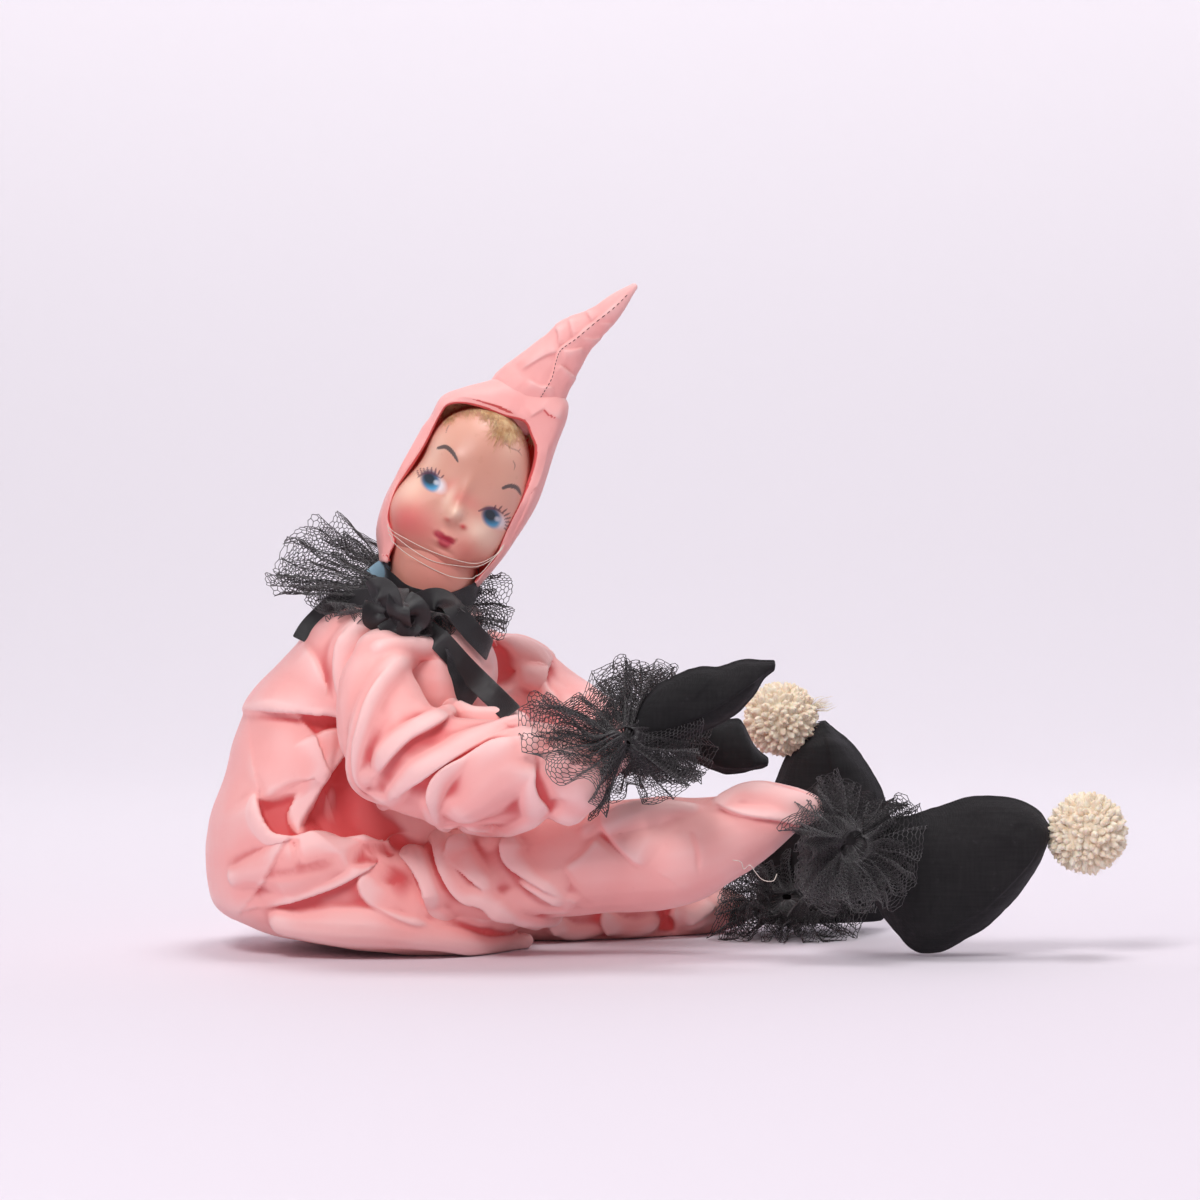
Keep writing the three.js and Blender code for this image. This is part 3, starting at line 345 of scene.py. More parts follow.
def sidesOf(co, line):  # distance from a line, how far along, on which side in the picture, and the way to its left
    best = np.full(len(co), 1e9)
    along, side = np.zeros(len(co)), np.zeros(len(co))
    across = np.zeros((len(co), 3))
    for i in range(len(line) - 1):
        a, b = line[i], line[i + 1]
        ab = b - a
        t = np.clip(((co - a) @ ab) / max(ab @ ab, 1e-12), 0, 1)
        off = co - (a + t[:, None] * ab)
        d = np.linalg.norm(off, axis=1)
        closer = d < best
        best[closer] = d[closer]
        along[closer] = (i + t[closer]) / (len(line) - 1)
        side[closer] = (ab[0] * off[:, 2] - ab[2] * off[:, 0])[closer]
        across[closer] = unit(np.array([-ab[2], 0, ab[0]]))
    return best, along, side, across


def toPhoto(co):  # pixels of the photograph that show these points
    view = np.array(camera.matrix_world.inverted())
    x, y, z = (co @ view[:3, :3].T + view[:3, 3]).T
    mid = photo["middle"]
    half = mid * photo["pixel"] / photo["distance"]
    return mid + x / -z / half * mid, mid - y / -z / half * mid


def calmed(piece, rounds):  # where the corners would lie if the cloth were pulled smooth
    co = corners(piece)
    ends = np.empty(len(piece.data.edges) * 2, np.int32)
    piece.data.edges.foreach_get("vertices", ends)
    a, b = ends[0::2], ends[1::2]
    count = np.maximum(np.bincount(ends, minlength=len(co)).astype(float), 1)
    for _ in range(rounds):
        co = np.stack([
            (np.bincount(a, co[b, k], len(co)) + np.bincount(b, co[a, k], len(co))) / count for k in range(3)], 1)
    return co


def easeFolds(piece, share, rounds):  # lets the rolls run into each other as broad pleats
    co = corners(piece)
    setCorners(piece, co + (calmed(piece, rounds) - co) * share)


# paints how far each spot lies in a valley or on a ridge, for the satin's painted shade in the valleys and painted
# highlight on the ridges; what faces the point inside is the lining, painted as full shade
def shadeFolds(piece, rounds=40, inside=None, shadeSpots=(), fullDepth=0.0024):
    co, no = corners(piece), corners(piece, "normal")
    depth = ((calmed(piece, rounds) - co) * no).sum(1)
    value = 0.5 + depth / fullDepth
    spots = np.stack(toPhoto(co), axis=1)
    for px, py, across, up, amount in shadeSpots:  # painted shade over hollows too broad to be found this way
        near = ((spots[:, 0] - px) / across) ** 2 + ((spots[:, 1] - py) / up) ** 2
        value += amount * np.exp(-near) * (no[:, 1] < 0.3)
    value = np.clip(value, 0, 1)
    if inside is not None:
        value[((co - np.array(inside)) * no).sum(1) < 0] = 1
    layer = piece.data.color_attributes.new("valley", "FLOAT_COLOR", "POINT")
    layer.data.foreach_set("color", np.stack([value, value, value, np.ones(len(co))], 1).ravel())


def onFloor(piece, lift=0.0003):
    co = corners(piece)
    co[:, 2] = np.maximum(co[:, 2], lift)
    setCorners(piece, co)


def crumple(piece, size, height, seed=0):  # slight unevenness of stuffing under the cloth
    co, no = corners(piece), corners(piece, "normal")
    amount = np.array([noise.noise(Vector(c) / size + Vector((seed, seed * 2, 0))) for c in co])
    setCorners(piece, co + no * (amount * height)[:, None])


# shared surface effects, as node groups
def srgb(r, g, b):  # a colour as a screen shows it, 0 to 255
    return tuple(
        (c / 255 / 12.92 if c / 255 <= 0.04045 else ((c / 255 + 0.055) / 1.055) ** 2.4) for c in (r, g, b)) + (1.0,)


class NodeRow:  # a node tree with short words for adding and joining nodes
    def __init__(self, tree):
        self.tree = tree

    def add(self, kind, inputs=None, **values):
        made = self.tree.nodes.new(kind)
        for key, value in values.items():
            setattr(made, key, value)
        for key, value in (inputs or {}).items():
            socket = made.inputs[key]
            if isinstance(value, bpy.types.NodeSocket):
                self.tree.links.new(value, socket)
            else:
                socket.default_value = value
        return made

    def link(self, a, b):
        self.tree.links.new(a, b)

    def maths(self, operation, a, b=0.5, c=0.0, clamp=False):
        made = self.add("ShaderNodeMath", {0: a, 1: b, 2: c}, operation=operation, use_clamp=clamp)
        return made.outputs[0]

    def blendColour(self, factor, a, b, kind="MIX"):
        made = self.add("ShaderNodeMix", {0: factor, 6: a, 7: b}, data_type="RGBA", blend_type=kind)
        return made.outputs[2]

    def span(self, value, a, b, c=0.0, d=1.0, smooth=False):
        kind = "SMOOTHSTEP" if smooth else "LINEAR"
        made = self.add("ShaderNodeMapRange", {0: value, 1: a, 2: b, 3: c, 4: d}, interpolation_type=kind)
        return made.outputs[0]

    def noise(self, vector, scale, detail=3.0, rough=0.55):
        made = self.add("ShaderNodeTexNoise", {"Vector": vector, "Scale": scale, "Detail": detail,
            "Roughness": rough})
        return made.outputs[0]


def newGroup(name, inputs, outputs):
    tree = bpy.data.node_groups.new(name, "ShaderNodeTree")
    for label, kind, value in inputs:
        socket = tree.interface.new_socket(label, in_out="INPUT", socket_type=kind)
        if value is not None:
            socket.default_value = value
    for label, kind in outputs:
        tree.interface.new_socket(label, in_out="OUTPUT", socket_type=kind)
    row = NodeRow(tree)
    return tree, row, row.add("NodeGroupInput"), row.add("NodeGroupOutput")


def makeThreadGroup():  # fine crossing threads with thicker slubs here and there
    tree, n, source, target = newGroup(
        "clothThreads",
        [("Vector", "NodeSocketVector", None), ("Threads", "NodeSocketFloat", 2600.0),
            ("Slub", "NodeSocketFloat", 0.5)],
        [("Height", "NodeSocketFloat"), ("Tone", "NodeSocketFloat")])
    vector = source.outputs["Vector"]
    along = n.add("ShaderNodeMapping", {"Vector": vector, "Scale": (60, 60, 900)}).outputs[0]
    across = n.add("ShaderNodeMapping", {"Vector": vector, "Scale": (700, 700, 70)}).outputs[0]
    slubA = n.noise(along, 1.0, 2.0)
    slubB = n.noise(across, 1.0, 2.0)
    weaveA = n.add("ShaderNodeTexWave", {"Vector": vector, "Scale": source.outputs["Threads"], "Distortion": 2.0},
        bands_direction="Z").outputs[1]
    weaveB = n.add("ShaderNodeTexWave", {"Vector": vector, "Scale": source.outputs["Threads"], "Distortion": 2.0},
        bands_direction="DIAGONAL").outputs[1]
    fine = n.maths("MULTIPLY", n.maths("ADD", weaveA, weaveB), 0.3)
    slub = n.maths("MULTIPLY", n.maths("ADD", slubA, slubB), source.outputs["Slub"])
    n.link(n.maths("ADD", fine, slub), target.inputs["Height"])
    n.link(n.span(n.maths("ADD", slubA, slubB), 0.7, 1.3), target.inputs["Tone"])
    return tree


def makeAgeGroup():  # broad uneven fading and small marks of handling
    tree, n, source, target = newGroup(
        "clothAge", [("Vector", "NodeSocketVector", None), ("Size", "NodeSocketFloat", 28.0)],
        [("Fade", "NodeSocketFloat"), ("Marks", "NodeSocketFloat")])
    broad = n.noise(source.outputs["Vector"], source.outputs["Size"], 2.0)
    small = n.noise(source.outputs["Vector"], 210.0, 4.0, 0.6)
    n.link(n.span(broad, 0.35, 0.65, 0.0, 1.0, True), target.inputs["Fade"])
    n.link(n.span(small, 0.62, 0.74, 0.0, 1.0, True), target.inputs["Marks"])
    return tree


threadGroup, ageGroup = makeThreadGroup(), makeAgeGroup()


def newMaterial(name, **shader):
    made = bpy.data.materials.new(name)
    made.use_nodes = True
    n = NodeRow(made.node_tree)
    made.node_tree.nodes.clear()
    end = n.add("ShaderNodeOutputMaterial")
    look = n.add("ShaderNodeBsdfPrincipled")
    for key, value in shader.items():
        look.inputs[key].default_value = value
    n.link(look.outputs[0], end.inputs[0])
    where = n.add("ShaderNodeTexCoord").outputs["Object"]
    return made, n, look, where


def groupIn(n, tree, **inputs):
    made = n.add("ShaderNodeGroup", node_tree=tree)
    for key, value in inputs.items():
        if isinstance(value, bpy.types.NodeSocket):
            n.link(value, made.inputs[key])
        else:
            made.inputs[key].default_value = value
    return made


def clothMaterial(name, light, deep, mark, rough, sheen, tint, bump, threads=2600.0, slub=0.5):
    made, n, look, where = newMaterial(name, **{"Sheen Weight": sheen, "Sheen Roughness": 0.35, "Sheen Tint": tint})
    weave = groupIn(n, threadGroup, Vector=where, Threads=threads, Slub=slub)
    age = groupIn(n, ageGroup, Vector=where)
    base = n.blendColour(age.outputs["Fade"], light, deep)
    base = n.blendColour(n.maths("MULTIPLY", weave.outputs["Tone"], 0.18), base, deep)
    base = n.blendColour(n.maths("MULTIPLY", age.outputs["Marks"], 0.25), base, mark)
    n.link(base, look.inputs["Base Color"])
    n.link(n.span(weave.outputs["Tone"], 0, 1, rough - 0.05, rough + 0.06), look.inputs["Roughness"])
    bumps = n.add("ShaderNodeBump", {"Strength": bump, "Distance": 0.0002, "Height": weave.outputs["Height"]})
    n.link(bumps.outputs[0], look.inputs["Normal"])
    return made


def satinMaterial():  # painted highlight along the ridges, painted shade deep and warm down in the folds, and a faint painted glow there for light coming through the cloth
    made = clothMaterial("pinkSatin", srgb(255, 186, 182), srgb(254, 176, 172), srgb(244, 160, 156), 0.40, 0.3,
        srgb(255, 228, 228), 0.35)
    n = NodeRow(made.node_tree)
    look = next(node for node in made.node_tree.nodes if node.type == "BSDF_PRINCIPLED")
    fold = n.add("ShaderNodeAttribute", attribute_name="valley").outputs["Fac"]
    plain = look.inputs["Base Color"].links[0].from_socket
    # the ridges get a painted highlight in a paler pink, the folds a painted shade in deep red
    paintedHighlight = n.blendColour(n.maths("MULTIPLY", n.span(fold, 0.48, 0.05, 0, 1, True), 0.6), plain, srgb(255, 218, 216))
    deep = n.blendColour(n.maths("MULTIPLY", n.span(fold, 0.50, 0.92, 0, 1, True), 0.9), paintedHighlight, srgb(206, 66, 70))
    n.link(deep, look.inputs["Base Color"])
    # the deepest folds and the inside of the hood glow faintly: a painted glow for light through the cloth
    look.inputs["Emission Color"].default_value = srgb(226, 60, 50)
    n.link(n.span(fold, 0.75, 1.0, 0, 0.07, True), look.inputs["Emission Strength"])
    return made


pinkSatin = satinMaterial()


# the satin suit: rows are pixels of the photograph with a radius in mm; base rows also have a depth in mm
def baseTube(rows, flat=1.0):
    line = [[*atPhoto(px, py, depth), r * 0.001] for px, py, depth, r in rows]
    return tubeForm(smoothRow(line, 5 * len(rows)), 20, flat, (0, -1, 0.02))


torso = {
    "voxel": 0.00105, "soften": 2, "ease": (0.35, 18),
    # painted shade spots: pixels, spread across and up in pixels, and how much darker
    "shadeSpots": [(310, 868, 60, 16, 0.30), (350, 790, 26, 36, 0.2), (400, 885, 16, 24, 0.35), (460, 936, 60, 9, 0.15),
        (340, 738, 18, 12, 0.2), (270, 780, 40, 60, 0.08), (330, 650, 30, 40, 0.08)],
    "stacks": [
        [(697, 262, 370, 28), (712, 245, 375, 38), (738, 235, 378, 43), (778, 223.5, 380, 46), (808, 212, 385, 48),
            (830, 208, 420, 50), (851, 205.5, 470, 51), (880, 208, 490, 51), (906, 218, 500, 49),
            (924, 250, 505, 46), (937, 296, 500, 42), (944, 350, 490, 36), (950, 400, 470, 26)],
        [(589, 385, 440, 14), (598, 345, 440, 24), (608, 325, 436, 32), (625, 308, 430, 37), (645, 297, 426, 39.5),
            (671, 270, 422, 41), (690, 254, 418, 42), (703, 245, 416, 42), (710, 243, 414, 41),
            (714, 250, 412, 38)],
        [(600, 340, 455, 24), (650, 330, 480, 33), (720, 300, 480, 35), (800, 290, 480, 36), (860, 290, 480, 38),
            (900, 300, 480, 38)],
    ],
    "balls": [((0.034, 0.0, 0.024), (0.036, 0.042, 0.021), 0.0), ((0.014, 0.0, 0.119), (0.034, 0.045, 0.033), 0.54),
        ((0.024, -0.004, 0.142), (0.021, 0.021, 0.012), 0.0)],
    "folds": [
        [(368, 622, 5), (352, 638, 7), (345, 661, 8), (347, 687, 7), (355, 712, 5)],
        [(256, 800, 2.5), (258, 820, 3), (268, 836, 3), (283, 842, 3), (300, 838, 2.5)],
        [(238, 876, 5), (262, 870, 8), (290, 866, 10), (318, 858, 9), (352, 846, 7), (385, 842, 5)],
        [(285, 919, 8), (340, 922, 11), (382, 924, 11), (424, 933, 8), (469, 942, 6), (523, 943, 4)],
        [(245, 709, 1.6), (270, 706, 1.7), (301, 709, 1.7), (330, 712, 1.7), (352, 724, 1.6)],
    ],
    "edges": [
        ((3.0, 12, 1.2), [(353, 726), (338, 714), (318, 711), (284, 708), (243, 708)]),
        ((2.2, 12, 3.0), [(299, 641), (312, 668), (323, 690), (336, 711)]),
        ((2.0, 7, 1.2), [(354, 726), (342, 698), (337, 670), (340, 645), (352, 625)]),
        ((4.0, 14, 1.4), [(253, 790), (256, 815), (268, 835), (285, 841), (300, 836)]),
        ((-5.0, 26, 1.3), [(301, 832), (286, 836), (271, 829), (262, 812), (259, 795)]),
        ((2.0, 22, 3.0), [(333, 780), (322, 778), (299, 776), (273, 786), (256, 800)]),
        ((2.5, 12, 1.6), [(310, 731), (316, 748), (323, 766), (331, 782)]),
        ((-3.0, 10, 1.3), [(353, 728), (340, 724), (322, 727), (312, 734)]),
        ((-10.0, 38, 1.5), [(299, 832), (316, 808), (331, 784), (348, 761), (356, 744)]),
        ((4.0, 14, 1.3), [(283, 842), (306, 838), (331, 833), (360, 834), (386, 832)]),
        ((3.6, 12, 1.3), [(386, 856), (363, 868), (334, 883), (296, 896), (260, 907)]),
        ((2.4, 10, 1.6), [(432, 923), (409, 920), (375, 904), (362, 884), (372, 868)]),
    ],
}
rightLeg = {
    "voxel": 0.0009, "soften": 3, "ease": (0.7, 21),
    "shadeSpots": [(440, 872, 26, 30, 0.12), (480, 880, 30, 30, 0.06), (640, 905, 90, 14, 0.10)],
    "base": [(408, 885, -28, 15), (460, 878, -29, 19), (530, 868, -29, 22), (600, 858, -30, 24),
        (670, 852, -31, 24), (712, 842, -31, 20), (748, 829, -31, 15.5), (782, 815, -31, 10.5),
        (814, 807, -31, 4.5)],
    "folds": [
        [(394, 828, 3.5), (408, 822, 4.5), (424, 824, 5), (439, 841, 5), (453, 863, 5), (469, 882, 5),
            (492, 897, 5), (514, 914, 4.5), (537, 924, 4)],
        [(389, 844, 4), (402, 851, 5), (417, 863, 5.5), (428, 883, 6), (434, 903, 6), (447, 918, 6), (467, 927, 5),
            (486, 934, 3.5)],
        [(453, 833, 4), (461, 849, 5), (476, 866, 6), (492, 886, 6.5), (511, 906, 6.5), (534, 917, 5),
            (554, 921, 4)],
        [(483, 834, 4), (492, 849, 5), (502, 872, 6), (517, 891, 6), (537, 903, 5), (562, 906, 4)],
        [(504, 833, 5), (511, 849, 6), (523, 869, 6), (542, 886, 6), (568, 897, 5)],
        [(509, 861, 3), (532, 878, 4), (564, 896, 4)],
        [(717, 806, 4), (737, 799, 6), (761, 798, 7), (787, 801, 6), (811, 805, 4)],
        [(590, 832, 5), (625, 822, 8), (660, 816, 8), (690, 812, 5)],
    ],
    "edges": [
        ((4.0, 8, 1.2), [(429, 911), (428, 891), (420, 872), (408, 856), (394, 852)]),
        ((3.5, 7, 1.0), [(517, 924), (500, 914), (483, 900), (461, 893), (447, 872), (439, 849), (427, 833)]),
        ((3.0, 7, 1.0), [(497, 900), (481, 883), (464, 870), (451, 858), (454, 844), (467, 833)]),
        ((3.0, 10, 1.0), [(568, 900), (545, 887), (523, 873), (507, 861), (504, 847), (507, 833)]),
        ((1.5, 5, 0.9), [(562, 907), (540, 894), (517, 879)]),
        ((3.2, 8, 1.0), [(816, 822), (796, 820), (776, 817), (750, 815), (730, 810), (715, 800)]),
        ((2.0, 16, 2.5), [(650, 866), (628, 850), (612, 832), (604, 812)]),
        ((1.6, 14, 2.5), [(560, 876), (586, 858), (604, 836)]),
        ((-1.2, 5, 4), [(489, 838), (492, 861), (503, 883), (509, 897)]),
        ((-0.6, 1.0, 1.0), [(690, 831), (696, 846), (699, 873)]),
    ],
}
rightSleeve = {
    "voxel": 0.0009, "soften": 3, "ease": (0.7, 21),
    "shadeSpots": [(492, 802, 34, 20, 0.14), (372, 780, 20, 22, 0.12), (440, 740, 60, 40, 0.08)],
    "base": [(380, 655, -46, 12), (378, 690, -52, 18), (392, 738, -60, 22), (430, 766, -65, 23),
        (490, 772, -66, 22), (550, 770, -67, 20), (588, 764, -67, 15), (612, 757, -66, 8)],
    "folds": [
        [(441, 664, 5), (413, 657, 6), (394, 667, 6), (377, 692, 6.5), (366, 720, 6.5), (360, 748, 6.5),
            (359, 774, 6), (368, 790, 5), (385, 796, 4)],
        [(453, 712, 4), (433, 723, 5), (408, 737, 5.5), (388, 757, 5.5), (374, 776, 4.5)],
        [(518, 722, 4), (492, 733, 5), (461, 746, 5.5), (433, 762, 5.5), (410, 776, 5), (394, 796, 4.5),
            (382, 804, 4)],
        [(523, 741, 4), (497, 748, 5), (469, 762, 5), (447, 776, 5), (433, 796, 5), (434, 816, 4), (447, 826, 4)],
        [(466, 800, 11), (482, 786, 14), (502, 768, 14), (524, 750, 11)],
        [(531, 765, 5), (527, 788, 6), (534, 810, 6), (517, 822, 6), (495, 827, 5), (467, 827, 4)],
        [(560, 768, 12), (574, 786, 14), (568, 804, 10)],
        [(447, 706, 4), (469, 716, 4), (492, 719, 5), (514, 720, 4)],
        [(380, 650, 5), (402, 647, 5), (433, 648, 5)],
    ],
    "edges": [
        ((3.5, 7, 1.3), [(453, 712), (433, 722), (408, 736), (388, 755), (375, 774)]),
        ((3.0, 7, 1.2), [(523, 726), (495, 737), (467, 748), (441, 762), (419, 776), (396, 796)]),
        ((2.5, 6, 1.0), [(439, 827), (431, 804), (433, 786), (444, 772), (467, 760), (497, 744), (517, 737)]),
        ((3.0, 8, 1.2), [(533, 762), (530, 782), (535, 799), (549, 814)]),
        ((2.0, 6, 1.2), [(382, 802), (366, 788), (357, 774), (356, 748), (361, 726), (368, 703), (380, 681),
            (396, 661)]),
    ],
}
leftSleeve = {
    "voxel": 0.0010, "soften": 3, "ease": (0.7, 20),
    "shadeSpots": [(500, 655, 14, 50, 0.2)],
    "base": [(455, 660, 40, 16), (485, 668, 58, 19), (520, 686, 76, 20), (550, 704, 70, 18), (585, 722, 54, 15),
        (620, 732, 36, 11), (640, 730, 26, 7)],
    "folds": [
        [(490, 642, 5), (510, 648, 7), (532, 656, 6), (546, 668, 4)],
        [(518, 672, 5), (540, 684, 6), (560, 700, 5), (575, 712, 4)],
        [(500, 690, 5), (520, 702, 6), (545, 712, 5)],
    ],
    "edges": [
        ((-5.0, 16, 6.0), [(484, 618), (496, 642), (507, 664), (515, 690)]),
        ((2.5, 10, 1.4), [(549, 654), (541, 670), (546, 690), (560, 704)]),
        ((2.0, 8, 1.2), [(590, 690), (575, 705), (565, 722)]),
    ],
}
leftLeg = {
    "voxel": 0.0010, "soften": 3, "ease": (0.7, 20),
    "shadeSpots": [(640, 920, 100, 30, 0.22)],
    "base": [(410, 893, 28, 15), (470, 893, 30, 20), (540, 893, 38, 22), (600, 897, 48, 22), (650, 902, 56, 19),
        (700, 908, 65, 14), (735, 910, 70, 8)],
    "folds": [
        [(676, 912, 5), (692, 914, 7), (708, 910, 6), (718, 902, 4)],
        [(606, 918, 5), (630, 922, 7), (655, 918, 6), (668, 910, 4)],
        [(556, 924, 5), (576, 928, 6), (598, 924, 5)],
        [(620, 905, 5), (650, 900, 6), (680, 894, 5)],
    ],
    "edges": [
        ((-4.0, 6, 1.2), [(672, 900), (670, 916), (673, 934)]),
        ((2.5, 9, 1.2), [(612, 935), (604, 922), (608, 908)]),
        ((2.0, 8, 1.2), [(716, 904), (700, 916), (684, 924)]),
        ((2.0, 8, 1.2), [(560, 936), (552, 924), (560, 912)]),
    ],
}


def makeGarment(name, spec, nodes, bodies=("torso",), joint=None):
    forms = [ballForm(*ball) for ball in spec.get("balls", [])]
    forms += [stackForm(rows) for rows in spec.get("stacks", [])]
    if "base" in spec:
        forms.append(baseTube(spec["base"]))
    tree = treeOf(forms)
    forms += foldRolls(tree, spec["folds"])
    forms += foldRolls(tree, spec["folds"], behind=True, shift=(4, -3), plump=0.9)
    piece = merged(name, forms, spec["voxel"], spec["soften"])
    easeFolds(piece, *spec["ease"])
    crumple(piece, 0.016, 0.0007, len(name))
    foldEdges(piece, spec["edges"])
    foldEdges(piece, spec["edges"], behind=True, shift=(5, -3), share=0.8)
    applyModifier(piece, "SMOOTH", factor=0.5, iterations=1)
    onFloor(piece)
    # painted shade in the folds and painted highlight on the ridges
    shadeFolds(piece, shadeSpots=spec["shadeSpots"])
    if joint:
        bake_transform(piece)
    else:
        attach(piece, bodies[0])
    dressed(piece, pinkSatin, nodes)


makeGarment("suitBody", torso, ["seat", "chest"])
for side, spec in (("right", rightSleeve), ("left", leftSleeve)):
    nodes, bodies = [side + "_upper_sleeve", side + "_forearm_sleeve"], [side + "_upper_arm", side + "_forearm"]
    makeGarment(side + "Sleeve", spec, nodes, bodies, side + "_elbow")
for side, spec in (("right", rightLeg), ("left", leftLeg)):
    nodes, bodies = [side + "_thigh", side + "_shin"], [side + "_upper_leg", side + "_lower_leg"]
    makeGarment(side + "TrouserLeg", spec, nodes, bodies, side + "_knee")


# the moulded face, shaped and painted where the photograph shows it
head = {
    "middle": (0.0359, -0.006, 0.1995), "lean": 28, "turn": 6,
    "halfWidth": 0.0268, "crown": 0.0365, "chin": 0.0392, "front": 0.0262, "back": 0.029, "aside": 0.0002,
    "centrePixel": (463.5, 487.0), "neckFoot": (0.0262, -0.006, 0.1492), "neckAside": 0.0040, "square": 2.8,
    # pixels, spread across and up the face in mm, turned by the lean, height in mm
    "bumps": [
        (455, 514, 3.3, 4.2, 4.6), (463, 494, 2.6, 7.5, 1.3), (448, 519, 1.7, 1.5, 1.0), (463, 526, 1.7, 1.5, 1.0),
        (409, 511, 8.0, 9.0, 2.6), (478, 541, 8.5, 9.0, 2.4), (450, 562, 8.0, 5.5, 2.2), (446, 535, 4.6, 1.4, 1.1),
        (442, 543, 3.6, 1.5, 1.0), (430, 481, 6.2, 4.2, -1.6), (491, 516, 6.2, 4.2, -1.6),
        (430, 482, 3.6, 2.8, 0.9), (491, 516, 3.6, 2.8, 0.9), (450, 450, 9.0, 4.5, 0.8), (508, 487, 9.0, 4.5, 0.8),
        (444, 550, 4.5, 1.2, -0.7), (438, 531, 1.0, 1.0, -0.5), (456, 541, 1.0, 1.0, -0.5), (480, 440, 16, 12, 0.8),
    ],
}


def headTurn():
    return Matrix.Rotation(math.radians(head["lean"]), 3, "Y") @ Matrix.Rotation(math.radians(head["turn"]), 3, "Z")


def faceCoords(px, py):  # pixels to mm across and up the leaning face
    a = math.radians(head["lean"])
    cx, cy = head["centrePixel"]
    dx, dz = (np.asarray(px) - cx) * pixelMm, (cy - np.asarray(py)) * pixelMm
    return dx * math.cos(a) - dz * math.sin(a), dx * math.sin(a) + dz * math.cos(a)


def dab(x, z, px, py, across, up, turn=0.0, edge=0.12):  # a painted oval, 1 inside and 0 outside
    cx, cz = faceCoords(px, py)
    a = math.radians(turn)
    dx, dz = x - cx, z - cz
    u, v = (dx * math.cos(a) + dz * math.sin(a)) / across, (-dx * math.sin(a) + dz * math.cos(a)) / up
    d = np.sqrt(u * u + v * v)
    return np.clip((1 - d) / edge + 0.5, 0, 1) if edge else np.exp(-d * d)


def stroke(px, py, points, width):  # a painted line with tapering ends, its width in mm at the middle
    row = smoothRow(points, 6 * len(points))
    best, along = np.full(len(px), 1e9), np.zeros(len(px))
    for i in range(len(row) - 1):
        a, ab = row[i], row[i + 1] - row[i]
        t = np.clip(((px - a[0]) * ab[0] + (py - a[1]) * ab[1]) / max(ab @ ab, 1e-9), 0, 1)
        d = np.hypot(px - a[0] - t * ab[0], py - a[1] - t * ab[1]) * pixelMm
        closer = d < best
        best[closer], along[closer] = d[closer], (i + t[closer]) / (len(row) - 1)
    half = width / 2 * np.sqrt(np.clip(np.sin(math.pi * np.clip(along * 0.86 + 0.12, 0.02, 0.98)), 0, 1))
    return np.clip((half - best) / 0.16 + 0.5, 0, 1)


